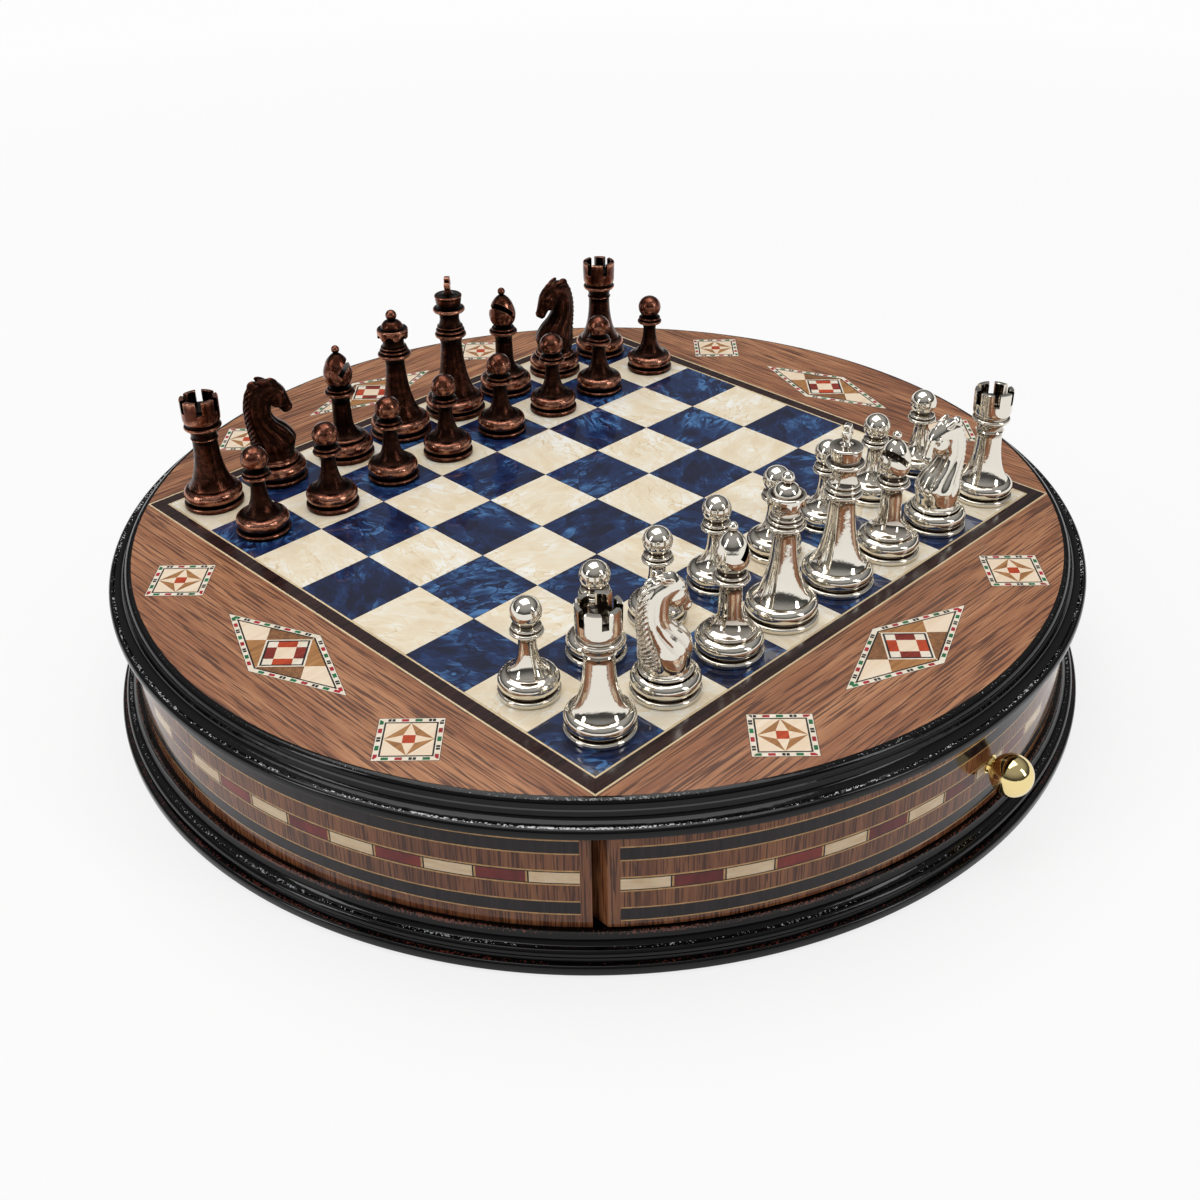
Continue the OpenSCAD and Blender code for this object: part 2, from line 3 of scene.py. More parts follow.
import bpy
import numpy as np
from mathutils import Matrix, Vector
from mathutils.bvhtree import BVHTree

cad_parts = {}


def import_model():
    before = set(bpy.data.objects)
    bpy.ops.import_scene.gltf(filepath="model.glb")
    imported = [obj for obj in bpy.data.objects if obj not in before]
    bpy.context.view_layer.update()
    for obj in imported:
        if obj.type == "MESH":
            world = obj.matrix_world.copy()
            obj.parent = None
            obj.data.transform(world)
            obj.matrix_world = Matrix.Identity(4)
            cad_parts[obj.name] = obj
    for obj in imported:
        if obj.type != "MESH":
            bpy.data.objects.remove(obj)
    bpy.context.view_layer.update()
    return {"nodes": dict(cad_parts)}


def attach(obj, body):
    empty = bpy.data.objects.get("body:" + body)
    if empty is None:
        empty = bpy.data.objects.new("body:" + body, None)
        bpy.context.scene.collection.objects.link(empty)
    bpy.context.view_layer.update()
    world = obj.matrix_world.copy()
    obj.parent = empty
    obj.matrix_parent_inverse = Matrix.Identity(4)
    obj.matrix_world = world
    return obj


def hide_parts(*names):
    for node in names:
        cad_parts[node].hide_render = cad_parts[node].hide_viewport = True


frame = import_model()

MM = 0.001
MEET = 1e-6  # points nearer than this are merged, in metres

# ---- sizes, in millimetres

SQUARE = 32.0
FIELD = 4 * SQUARE
FRAME_EDGE = FIELD + 0.8 + 5.2 + 0.8
VENEER_R = FRAME_EDGE * sqrt(2) - 0.2
MOULDING_R = VENEER_R + 9.6
WALL_R = MOULDING_R - 5.5
FRONT_R = WALL_R + 0.5
BASE_R = WALL_R + 9.0
BASE_Z = 1.0
WALL_Z = 13.8
TOP_Z = 55.4
BOARD_Z = 65.0
KNOB_Z = 32.8
BALL_R = 7.75
KNOB_Y = FRONT_R + 1.0 + BALL_R
# Faces of the wall: radius, half angle, half angle of the bands, middle of the blocks, gap at the edges
PANEL_FACE = (WALL_R + 0.1, 44.52, 43.41, 34.9, 0.02)
FRONT_FACE = (FRONT_R + 0.1, 44.0, 42.8, 32.5, 0.5)
MEDALLION_MID = 0.5 * (FRAME_EDGE + VENEER_R) - 5.4
SQUARE_MEDALLION = 22.4
DIAMOND_L = 74.0
DIAMOND_W = 31.0
MEDALLION_SIDE = (DIAMOND_L + SQUARE_MEDALLION * sqrt(2)) / 2 + 17.9
MOSAIC_W = 2.2
MOSAIC_LINE = 0.6
STAR_HUB = 2.1
CHEQUER_RIM = 0.7


# ---- camera

def make_camera():
    """The photograph's own view: near and low, with the board turned corner first."""
    data = bpy.data.cameras.new("camera")
    data.sensor_width = 36.0
    data.lens = 43.69
    data.shift_x = -0.0059
    data.shift_y = -0.0775
    data.clip_start = 0.01
    data.clip_end = 20.0
    camera = bpy.data.objects.new("camera", data)
    bpy.context.scene.collection.objects.link(camera)
    ahead = Vector((0.61478, 0.61969, -0.48787)).normalized()
    right = ahead.cross(Vector((0, 0, 1))).normalized()
    up = right.cross(ahead)
    roll = radians(-0.804)
    right_rolled = right * cos(roll) + up * sin(roll)
    up_rolled = up * cos(roll) - right * sin(roll)
    turn = Matrix((right_rolled, up_rolled, -ahead)).transposed()
    camera.matrix_world = Matrix.Translation(Vector((-377.6, -386.5, 363.0)) * MM) @ turn.to_4x4()
    bpy.context.scene.camera = camera


make_camera()

# ---- helpers for materials


def paint(code):
    """A linear colour from an sRGB hex value."""
    values = [int(code[i:i + 2], 16) / 255 for i in (1, 3, 5)]
    return [v / 12.92 if v <= 0.04045 else ((v + 0.055) / 1.055) ** 2.4 for v in values] + [1.0]


def shade(value):
    """A colour from a hex value or from a grey level."""
    return paint(value) if isinstance(value, str) else (value, value, value, 1.0)


def add(kind, settings=None, inputs=None, tree=None):
    """Adds a shader node with its settings, and sets or links its inputs, in their tree or a given one."""
    inputs = inputs or {}
    if tree is None:
        tree = next(v.id_data for v in inputs.values() if isinstance(v, bpy.types.NodeSocket))
    made = tree.nodes.new("ShaderNode" + kind)
    for key, value in (settings or {}).items():
        setattr(made, key, value)
    for key, value in inputs.items():
        if isinstance(value, bpy.types.NodeSocket):
            tree.links.new(value, made.inputs[key])
        else:
            made.inputs[key].default_value = value
    return made


def ramp(fac, *stops):
    """A colour ramp through stops, each a place with a hex value or a grey level."""
    made = add("ValToRGB", inputs={"Fac": fac})
    line = made.color_ramp
    stops = [(place, shade(value)) for place, value in stops]
    line.elements[0].position, line.elements[0].color = stops[0]
    line.elements[1].position, line.elements[1].color = stops[-1]
    for place, colour in stops[1:-1]:
        line.elements.new(place).color = colour
    return made.outputs["Color"]


def new_material(name):
    """A new material with an empty tree, and its object coordinates."""
    made = bpy.data.materials.new(name)
    made.use_nodes = True
    made.node_tree.nodes.clear()
    return made, add("TexCoord", tree=made.node_tree).outputs["Object"]


def close_material(made, colour, rough, normal=None, others=None):
    """Ends a material with its shader, and hands it back."""
    inputs = {"Base Color": colour, "Roughness": rough, **(others or {})}
    if normal:
        inputs["Normal"] = normal
    shader = add("BsdfPrincipled", inputs=inputs, tree=made.node_tree)
    add("OutputMaterial", inputs={"Surface": shader.outputs["BSDF"]})
    return made


def stretched(vector, scale):
    return add("Mapping", inputs={"Vector": vector, "Scale": scale}).outputs["Vector"]


def noise(vector, scale, detail=3.0, rough=0.5, distort=0.0, out="Fac"):
    """Noise at one scale, or at another scale in each direction."""
    if isinstance(scale, tuple):
        vector, scale = stretched(vector, scale), 1.0
    return add("TexNoise", inputs={"Vector": vector, "Scale": scale, "Detail": detail,
                                         "Roughness": rough, "Distortion": distort}).outputs[out]


def calc(what, a, b=0.5):
    return add("Math", {"operation": what}, {0: a, 1: b}).outputs[0]


def times(a, b):
    return calc("MULTIPLY", a, b)


def weighted(*pairs):
    """The sum of some values, each times its weight."""
    total, *others = [times(value, weight) for value, weight in pairs]
    for other in others:
        total = calc("ADD", total, other)
    return total


def vector_calc(what, a, b=(0, 0, 0)):
    second = "Scale" if what == "SCALE" else 1
    made = add("VectorMath", {"operation": what}, {0: a, second: b})
    return made.outputs["Value" if what == "LENGTH" else "Vector"]


def split(vector):
    """The X, Y and Z of a vector."""
    return add("SeparateXYZ", inputs={"Vector": vector}).outputs[:]


def joined(x, y, z):
    return add("CombineXYZ", inputs={"X": x, "Y": y, "Z": z}).outputs[0]


def blend(fac, a, b):
    return add("Mix", {"data_type": "RGBA"}, {0: fac, 6: a, 7: b}).outputs[2]


def bump(height, distance, strength=1.0):
    made = add("Bump", inputs={"Height": height, "Distance": distance, "Strength": strength})
    return made.outputs["Normal"]


# ---- materials


METAL = {"Metallic": 1.0}

# Chips in the lacquer and painted highlight lines along the beads' edges: radius, height, half width of the
# line, colour, and how scarce the specks are
CHIPS_AND_HIGHLIGHT_LINES = (
    (MOULDING_R - 1.9, BOARD_Z - 6.4, 0.55, "#DCDCDC", 0.84),
    (VENEER_R + 1.2, BOARD_Z - 0.2, 0.5, "#8C8C8C", 0.9),
    (BASE_R - 6.7, WALL_Z - 0.6, 0.7, "#7A4A3C", 0.8),
    (BASE_R - 4.2, WALL_Z - 4.6, 0.5, "#C0C4C8", 0.88),
    (BASE_R - 1.6, WALL_Z - 9.0, 0.6, "#5A2A22", 0.84))


def walnut_figure(along, light, mid, dark, pore, pitch):
    """Walnut's figure: long flowing bands, fine streaks and thin dark pores, all along one direction."""
    bands = noise(along, (8, 95, 95), 4.0, 0.6, 0.8)
    streaks = noise(along, (26, 900, 900), 6.0, 0.7, 0.3)
    pores = noise(along, (pitch / 34, pitch, pitch), 2.0)
    mixed = weighted((bands, 0.5), (streaks, 0.5))
    colour = ramp(mixed, (0.34, dark), (0.46, mid), (0.6, light))
    return blend(ramp(pores, (0.42, 0.9), (0.48, 0)), colour, paint(pore)), pores


def walnut_top():
    """Satin lacquered walnut veneer: warm brown with dark streaks along each side of the board."""
    made, coords = new_material("satin lacquered walnut veneer")
    x, y, _ = split(coords)
    side = calc("GREATER_THAN", calc("ABSOLUTE", x), calc("ABSOLUTE", y))
    along = blend(side, coords, joined(y, x, 0.7))
    colour, pores = walnut_figure(along, "#BE865E", "#9A6240", "#6C3E26", "#542E1E", 1250)
    return close_material(made, colour, 0.42, bump(pores, 0.00005),
                          {"IOR": 1.5, "Coat Weight": 0.2, "Coat Roughness": 0.15})


def walnut_wall():
    """Gloss lacquered walnut with upright grain, in a mirror-like clear coat."""
    made, coords = new_material("gloss lacquered walnut veneer")
    x, y, z = split(coords)
    upright = joined(z, x, y)
    colour, _ = walnut_figure(upright, "#94603F", "#764830", "#543020", "#46281C", 1500)
    return close_material(made, colour, 0.1, None, {"IOR": 1.45, "Specular IOR Level": 0.35})


def dyed_veneer(name, light, dark, rough=0.35, fibre=(40, 500, 500), shine=0.5):
    """A thin veneer in one dyed or natural colour, with faint fibres under clear lacquer."""
    made, coords = new_material(name)
    colour = ramp(noise(coords, fibre, 4.0, 0.6), (0.3, dark), (0.7, light))
    return close_material(made, colour, rough, None, {"IOR": 1.45, "Specular IOR Level": shine})


def pearl(name, *stops):
    """Pearl celluloid: soft folds and crisp creases, laid another way in each square, polished flat."""
    made, coords = new_material(name)
    square = vector_calc("FLOOR", vector_calc("SCALE", coords, 1 / (SQUARE * MM)))
    sheet = add("TexWhiteNoise", {"noise_dimensions": "3D"}, {"Vector": square}).outputs
    laid = add("VectorRotate", {"rotation_type": "Z_AXIS"},
               {"Vector": coords, "Angle": times(sheet["Value"], 6.28)}).outputs["Vector"]
    moved = vector_calc("ADD", laid, sheet["Color"])
    long_way = stretched(moved, (1.0, 1.9, 1.0))
    # Broad swells with crisp steps, only in some patches
    swell = noise(long_way, 60.0, 2.5, 0.55, 0.5)
    fold = calc("FRACT", times(swell, 5.0))
    patch = ramp(noise(moved, 55.0, 2.0), (0.42, 0), (0.62, 1))
    fine = noise(stretched(moved, (1.0, 3.5, 1.0)), 130.0, 4.0, 0.6, 1.6)
    # Crumpled facets with dark creases between them
    drift = noise(moved, 60.0, 2.0, out="Color")
    bent = vector_calc("ADD", long_way, vector_calc("SCALE", drift, 0.022))
    cells = {"Vector": bent, "Scale": 95.0}
    facets = add("TexVoronoi", inputs=cells).outputs
    seam = add("TexVoronoi", {"feature": "DISTANCE_TO_EDGE"}, cells).outputs["Distance"]
    crease = times(ramp(seam, (0, 0.3), (0.05, 0)), patch)
    crumple = weighted((split(facets["Color"])[0], 0.75), (facets["Distance"], 0.5))
    level = weighted((times(fold, patch), 0.34), (fine, 0.36), (crumple, 0.26))
    level = calc("SUBTRACT", level, crease)
    return close_material(made, ramp(level, *stops), 0.3, bump(level, 0.0001, 0.4), {
        "IOR": 1.5, "Specular IOR Level": 0.25, "Coat Weight": 0.6, "Coat Roughness": 0.03})


def black_lacquer():
    """Thick gloss black lacquer over turned wood, with specks along the beads' upper edges that are partly
    chips and partly painted highlight.
    """
    made, coords = new_material("gloss black lacquer")
    height = split(coords)[2]
    radius = vector_calc("LENGTH", vector_calc("MULTIPLY", coords, (1, 1, 0)))
    specks = noise(coords, 1100.0, 3.0, 0.7)
    mixed = calc("ADD", specks, times(noise(coords, 24.0, 2.0), 0.5))
    colour = paint("#040405")
    # Each line of specks stands where a bead's edge catches the light: partly chips, partly painted highlight
    for place, high, width, chip_and_highlight_colour, amount in CHIPS_AND_HIGHLIGHT_LINES:
        chip_and_highlight_mask = calc("GREATER_THAN", mixed, amount)
        for value, line in ((radius, place), (height, high)):
            near = add("Math", {"operation": "COMPARE"}, {0: value, 1: line * MM, 2: width * MM})
            chip_and_highlight_mask = times(chip_and_highlight_mask, near.outputs[0])
        colour = blend(chip_and_highlight_mask, colour, paint(chip_and_highlight_colour))
    dust = ramp(noise(coords, 900.0, 3.0, 0.7), (0.4, 0.05), (0.75, 0.2))
    return close_material(made, colour, dust, bump(noise(coords, 110.0, 2.0), 0.00012),
                          {"IOR": 1.45, "Specular IOR Level": 0.32})


def rubbing(made):
    """How far the casting stands out at each point, less painted shade where it is hidden, from its own
    attribute.
    """
    return add("Attribute", {"attribute_name": "rub_and_shade"}, tree=made.node_tree).outputs["Fac"]


def nickel():
    """Polished nickel plate on cast metal: a bright mirror with the slight unevenness of the casting."""
    made, coords = new_material("polished nickel plate")
    # Painted shade: the nickel turns dark brown-grey in hollows, slots and at the foot, where the attribute
    # is low
    colour = ramp(rubbing(made), (0, "#5A5046"), (0.3, "#BCB2A4"), (0.5, "#E6E0D4"))
    stain = ramp(noise(coords, 520.0, 3.0, 0.7), (0.4, 0.05), (0.75, 0.12))
    uneven = noise(coords, 240.0, 3.0, 0.6)
    return close_material(made, colour, stain, bump(uneven, 0.00007), METAL)


def antique_copper():
    """Antiqued copper plate: near-black brown in the hollows, part patina and part painted shade, rubbed back
    to copper on what stands out.
    """
    made, coords = new_material("antiqued copper plate")
    cloud = calc("SUBTRACT", noise(coords, 320.0, 4.0, 0.65), 0.5)
    # The attribute's low values are partly patina in the hollows and partly painted shade where the piece or
    # the board hides a point
    level = calc("ADD", rubbing(made), times(cloud, 0.55))
    colour = ramp(level, (0.15, "#080504"), (0.5, "#2E1A13"), (0.68, "#603628"), (0.95, "#D0947A"))
    return close_material(made, colour, ramp(level, (0.1, 0.4), (0.8, 0.18)),
                          bump(noise(coords, 380.0, 3.0, 0.6), 0.0003), METAL)


def polished_brass():
    """Polished brass, turned: a clear warm mirror with faint fine unevenness."""
    made, coords = new_material("polished brass")
    fine = noise(coords, 700.0, 2.0)
    return close_material(made, paint("#F2DC9E"), 0.07, bump(fine, 0.00003), METAL)


def zinc_steel():
    """Zinc plated steel screw: bluish grey, softly bright."""
    made, coords = new_material("zinc plated steel")
    cloud = ramp(noise(coords, 900.0, 3.0), (0.3, 0.25), (0.7, 0.4))
    return close_material(made, paint("#B4B8BC"), cloud, None, METAL)


def felt(name, light, dark):
    """Wool felt: matted short fibres, no gloss, a soft edge to the light."""
    made, coords = new_material(name)
    fibres = noise(coords, 1400.0, 5.0, 0.75, 1.5)
    mixed = weighted((fibres, 0.7), (noise(coords, 60.0, 3.0), 0.3))
    colour = ramp(mixed, (0.3, dark), (0.7, light))
    return close_material(made, colour, 0.95, bump(fibres, 0.0003),
                          {"Sheen Weight": 0.4, "Sheen Roughness": 0.5})


def plain_wood(name, light, mid, dark, rough=0.5, sides_from=1000.0):
    """Straight-grained solid wood, clear finished; its grain turns to Y further out in X than sides_from."""
    made, coords = new_material(name)
    x, y, z = split(coords)
    out = calc("GREATER_THAN", calc("ABSOLUTE", x), sides_from * MM)
    coords = blend(out, coords, joined(y, x, z))
    grain = noise(coords, (14, 260, 260), 5.0, 0.65, 0.6)
    fine = noise(coords, (98, 1820, 1820), 3.0, 0.6)
    mixed = weighted((grain, 0.7), (fine, 0.3))
    colour = ramp(mixed, (0.34, dark), (0.5, mid), (0.64, light))
    return close_material(made, colour, rough, bump(fine, 0.0001), {"IOR": 1.5})


def fibreboard():
    """Raw fibreboard: an even tan with fine flecks of fibre."""
    made, coords = new_material("raw fibreboard")
    flecks = noise(coords, 1800.0, 4.0, 0.8)
    return close_material(made, ramp(flecks, (0.35, "#8A6A4A"), (0.65, "#B59470")), 0.85)


WALNUT_WALL = walnut_wall()
LACQUER = black_lacquer()
NICKEL = nickel()
COPPER = antique_copper()
BRASS = polished_brass()
STEEL = zinc_steel()
LINING_FELT = felt("green lining felt", "#20513A", "#123425")
CASE_WOOD = plain_wood("dark stained case wood", "#4A2E22", "#38221A", "#251510")
DRAWER_WOOD = plain_wood("clear finished drawer wood", "#D9B98C", "#C6A271", "#A9814F", 0.45, 90.0)
BOARD_CORE = fibreboard()

ALONG = (40, 500, 500)
WALL_FINISHES = {
    "walnut": WALNUT_WALL,
    "line": dyed_veneer("boxwood stringing", "#D6AA72", "#AC8250", 0.1, ALONG, 0.35),
    "dark": dyed_veneer("ebonised band", "#2E2326", "#120D0F", 0.12, (500, 500, 30), 0.3),
    "cream": dyed_veneer("sycamore block", "#F0D9B8", "#DCBC92", 0.1, (120, 120, 500), 0.35),
    "red": dyed_veneer("red dyed block", "#92322A", "#440E16", 0.1, (60, 60, 20), 0.35),
    "black": dyed_veneer("black line", "#1E1918", "#0C0909", 0.1, ALONG, 0.3),
}
INLAYS = {
    "cream": dyed_veneer("cream inlay", "#F8E6CE", "#EED4B4"),
    "red": dyed_veneer("red inlay", "#CC4E22", "#A4300E"),
    "rust": dyed_veneer("dark red inlay", "#9C3420", "#681A10"),
    "green": dyed_veneer("green inlay", "#14804A", "#084E2C"),
    "crimson": dyed_veneer("crimson inlay", "#C01E32", "#8E1420"),
    "black": dyed_veneer("black inlay", "#1C1918", "#0A0808"),
    "brown": dyed_veneer("brown inlay", "#BE8852", "#8A5A30", 0.35, (60, 900, 900)),
    "deep": dyed_veneer("deep brown inlay", "#A06E44", "#664228", 0.35, (900, 500, 900)),
    "holly": dyed_veneer("holly border", "#F8EEDE", "#E6D8C0"),
    "edge": dyed_veneer("glue line", "#5C3E2A", "#3C261A"),
}
STRIP_FINISHES = {kind: INLAYS[kind] for kind in ("holly", "green", "crimson", "black", "edge")}
FIELD_FINISHES = {kind: INLAYS[kind] for kind in ("black", "cream", "holly", "red", "rust", "brown", "deep")}

CAD_FINISHES = {
    "base_board": BOARD_CORE, "top_board": BOARD_CORE, "side_panels": WALNUT_WALL,
    "case_sides": CASE_WOOD, "partition": CASE_WOOD,
    "base_felt": felt("green base felt", "#2E3A28", "#1A2318"),
    "drawer_runners": plain_wood("waxed beech", "#DDBE92", "#CDA878", "#B08A5A", 0.4, 90.0),
    "walnut_segments": walnut_top(),
    "board_frame": dyed_veneer("dark stained frame veneer", "#3E2826", "#1A1010", 0.16),
    "stringing": dyed_veneer("maple stringing", "#F0DCB8", "#D8BC90"),
    "light_squares": pearl("cream pearl celluloid", (0.1, "#DCC49A"), (0.26, "#F2E0C0"), (0.44, "#F8ECD4"),
                           (0.68, "#FFFDF6")),
    "dark_squares": pearl("blue pearl celluloid", (0.1, "#03061A"), (0.28, "#0B1536"), (0.46, "#17305E"),
                          (0.72, "#4C7EB4")),
}
for drawer in ("near_drawer", "far_drawer"):
    CAD_FINISHES.update({drawer + "_front": WALNUT_WALL, drawer + "_frame": DRAWER_WOOD,
                         drawer + "_bottom": DRAWER_WOOD, drawer + "_lining": LINING_FELT,
                         drawer + "_screw": STEEL})


def dress_cad_nodes():
    for name, finish in CAD_FINISHES.items():
        node = frame["nodes"][name]
        node.data.materials.clear()
        node.data.materials.append(finish)


# ---- helpers for shapes


def pick(*objects):
    """Selects some objects alone, the first of them active."""
    bpy.ops.object.select_all(action="DESELECT")
    bpy.context.view_layer.objects.active = objects[0]
    for obj in objects:
        obj.select_set(True)


def edit(obj, action="SELECT"):
    """Opens one object alone for shaping, with all of it selected unless asked otherwise."""
    pick(obj)
    bpy.ops.object.mode_set(mode="EDIT")
    if action:
        bpy.ops.mesh.select_all(action=action)


def leave():
    bpy.ops.object.mode_set(mode="OBJECT")


def shift(*place):
    """Moves what is selected, in millimetres."""
    bpy.ops.transform.translate(value=Vector(place) * MM)


def size_to(*sizes):
    """Brings what is selected from size 1 to sizes in millimetres."""
    bpy.ops.transform.resize(value=Vector(sizes) * MM, center_override=(0, 0, 0))


def swing(angle, axis="Z"):
    """Turns what is selected about an axis through the middle, in degrees."""
    bpy.ops.transform.rotate(value=-radians(angle), orient_axis=axis, center_override=(0, 0, 0))


def spin_round(steps, angle=2 * pi):
    """Sweeps what is selected round the upright axis."""
    bpy.ops.mesh.spin(steps=steps, angle=angle, center=(0, 0, 0), axis=(0, 0, 1))


def turn_outwards():
    """Turns all faces of the open shape outwards, and ends the shaping."""
    bpy.ops.mesh.select_all(action="SELECT")
    bpy.ops.mesh.normals_make_consistent(inside=False)
    leave()


def flip(obj):
    """Turns all faces over."""
    edit(obj)
    bpy.ops.mesh.flip_normals()
    leave()


def arc(x, y, r, a, b, n):
    """Points of a circular arc, in degrees."""
    turns = [radians(a + (b - a) * i / n) for i in range(n + 1)]
    return [(x + r * cos(t), y + r * sin(t)) for t in turns]


def curve(p, c, q, n):
    """Points of a smooth curve from p to q that leans towards c."""
    shares = [((1 - i / n) ** 2, 2 * i / n * (1 - i / n), (i / n) ** 2) for i in range(n + 1)]
    return [tuple(u * a + v * b + w * d for a, b, d in zip(p, c, q)) for u, v, w in shares]


def bead(r, z, h):
    """A round bead of height h, widest at radius r and height z."""
    return arc(r - h / 2, z, h / 2, -90, 90, 8)


def tidy_points(points):
    """The outline without repeated points."""
    kept = [points[0]]
    for p in points[1:]:
        if dist(p, kept[-1]) > 0.02:
            kept.append(p)
    return kept


def draw_outline(name, points):
    """A chain of points (radius, height) in millimetres, drawn by extruding one vertex."""
    bpy.ops.mesh.primitive_plane_add(size=0.001)
    obj = bpy.context.object
    obj.name = obj.data.name = name
    edit(obj)
    bpy.ops.mesh.merge(type="CENTER")
    x, z = points[0]
    shift(x, 0, z)
    for nx, nz in points[1:]:
        step = ((nx - x) * MM, 0, (nz - z) * MM)
        bpy.ops.mesh.extrude_vertices_move(TRANSFORM_OT_translate={"value": step})
        x, z = nx, nz
    return obj


def turned(name, points, steps=64, closed=False):
    """A shape turned about the upright axis from its outline."""
    points = tidy_points(points)
    if closed:
        points = points + points[:1]
    obj = draw_outline(name, points)
    bpy.ops.mesh.select_all(action="SELECT")
    spin_round(steps)
    bpy.ops.mesh.select_all(action="SELECT")
    bpy.ops.mesh.remove_doubles(threshold=MEET)
    turn_outwards()
    return obj


def smooth(obj, angle):
    pick(obj)
    bpy.ops.object.shade_smooth_by_angle(angle=radians(angle))


def finish_piece(obj, body, materials, nodes=()):
    """Gives a piece its materials, its body and the nodes that it stands for."""
    if not len(obj.data.materials):
        for material in materials:
            obj.data.materials.append(material)
    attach(obj, body)
    if nodes:
        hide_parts(*nodes)


def copy_of(obj, name):
    pick(obj)
    bpy.ops.object.duplicate(linked=False)
    made = bpy.context.object
    made.name = made.data.name = name
    return made


def join(name, parts):
    pick(*parts)
    bpy.ops.object.join()
    made = bpy.context.object
    made.name = made.data.name = name
    return made


def turn_and_place(obj, turn, place=(0, 0, 0)):
    """Turns the mesh itself about the upright axis, then moves it, in millimetres."""
    edit(obj)
    swing(turn)
    shift(*place)
    leave()


def apply_modifier(obj, kind, **settings):
    pick(obj)
    modifier = obj.modifiers.new("shape", kind)
    for key, value in settings.items():
        setattr(modifier, key, value)
    bpy.ops.object.modifier_apply(modifier=modifier.name)


def carve(obj, cutters):
    """Cuts the cutters out of a closed shape."""
    cutter = join("cutter", cutters) if len(cutters) > 1 else cutters[0]
    apply_modifier(obj, "BOOLEAN", operation="DIFFERENCE", solver="EXACT", object=cutter)
    bpy.data.objects.remove(cutter)


# ---- mouldings


def moulding(node, outline):
    """A turned ring of gloss lacquer in place of its CAD node."""
    obj = turned(node + "_gloss", outline, 256, closed=True)
    smooth(obj, 32)
    finish_piece(obj, "case", [LACQUER], [node])


def top_moulding():
    r, z = MOULDING_R, BOARD_Z
    rim = VENEER_R + 0.1
    moulding("top_moulding", [(r - 13, TOP_Z), (r - 0.6, TOP_Z)]
        + curve((r - 0.6, TOP_Z), (r, TOP_Z), (r, TOP_Z + 0.6), 5)
        + curve((r, z - 7.9), (r, z - 6.3), (r - 1.7, z - 6.2), 8)
        + [(r - 2.3, z - 6.6)]
        + curve((r - 2.5, z - 6.3), (r - 5.4, z - 6.3), (r - 5.8, z - 4.9), 10)
        + [(r - 5.9, z - 4.7), (r - 6.1, z - 3.3), (r - 6.7, z - 3.1)]
        + curve((r - 6.75, z - 3), (r - 6.7, z - 0.1), (rim, z), 12)
        + [(rim, z - 1), (r - 13, z - 1)])


def base_moulding():
    r, w = BASE_R, WALL_Z
    moulding("base_moulding", [(r - 17, BASE_Z), (r - 0.8, BASE_Z)]
        + curve((r - 0.8, BASE_Z), (r, BASE_Z), (r, BASE_Z + 0.8), 4)
        + curve((r, w - 10.4), (r, w - 9.1), (r - 1.3, w - 9), 6)
        + [(r - 2.6, w - 8.8)]
        + arc(r - 4, w - 6.4, 1.8, -50, 90, 10)
        + curve((r - 4, w - 4.5), (r - 6.3, w - 4.1), (r - 6.8, w - 1), 10)
        + [(r - 6.8, w), (r - 17, w)])


# ---- wall veneers

BLOCKS = 17
DIVIDER = 0.33       # width of the double line between two blocks, in degrees
SKIN = 0.2           # thickness of the veneer in front of the CAD's face
SLACK = 1e-4         # for a face's middle beside a line
# What lies in the wall from the blocks up, and the heights between; the lower half is its mirror image
UPPER_KINDS = ("block", "black", "line", "walnut", "line", "dark", "line", "walnut")
UPPER_EDGES = (2.2, 2.6, 3.2, 9.8, 10.3, 15.3, 15.8)
ROW_KINDS = UPPER_KINDS[:0:-1] + UPPER_KINDS
ROW_EDGES = tuple(-edge for edge in UPPER_EDGES[::-1]) + UPPER_EDGES


def wall_columns(band_half):
    """Angles of the blocks' edges, and the kinds between them, from one end of the band to the other."""
    pitch = (2 * band_half + DIVIDER) / BLOCKS
    angles = [-band_half]
    kinds = []
    for i in range(BLOCKS):
        end = -band_half + i * pitch + pitch
        cream = i % 2 == 0
        kinds += ["cream", "black", "line"] if cream else ["red", "line", "black"]
        angles += [end - DIVIDER, end - DIVIDER * (0.55 if cream else 0.45), end]
    return angles[:-2], kinds[:-2]


def cut(place, normal, drop=False):
    """Cuts all of the open shape along a plane, and drops what lies beyond it if asked."""
    bpy.ops.mesh.select_all(action="SELECT")
    bpy.ops.mesh.bisect(plane_co=place, plane_no=normal, threshold=1e-7, clear_outer=drop)


def place_in(edges, value):
    """Which of the ranges that start at these edges a value is in."""
    return max(i for i in range(len(edges)) if value >= edges[i] - SLACK)


def colour_faces(obj, finishes, choose):
    """Gives each face the finish that choose names for its middle, in millimetres."""
    for finish in finishes.values():
        obj.data.materials.append(finish)
    names = list(finishes)
    for face in obj.data.polygons:
        face.material_index = names.index(choose(*(c / MM for c in face.center)))


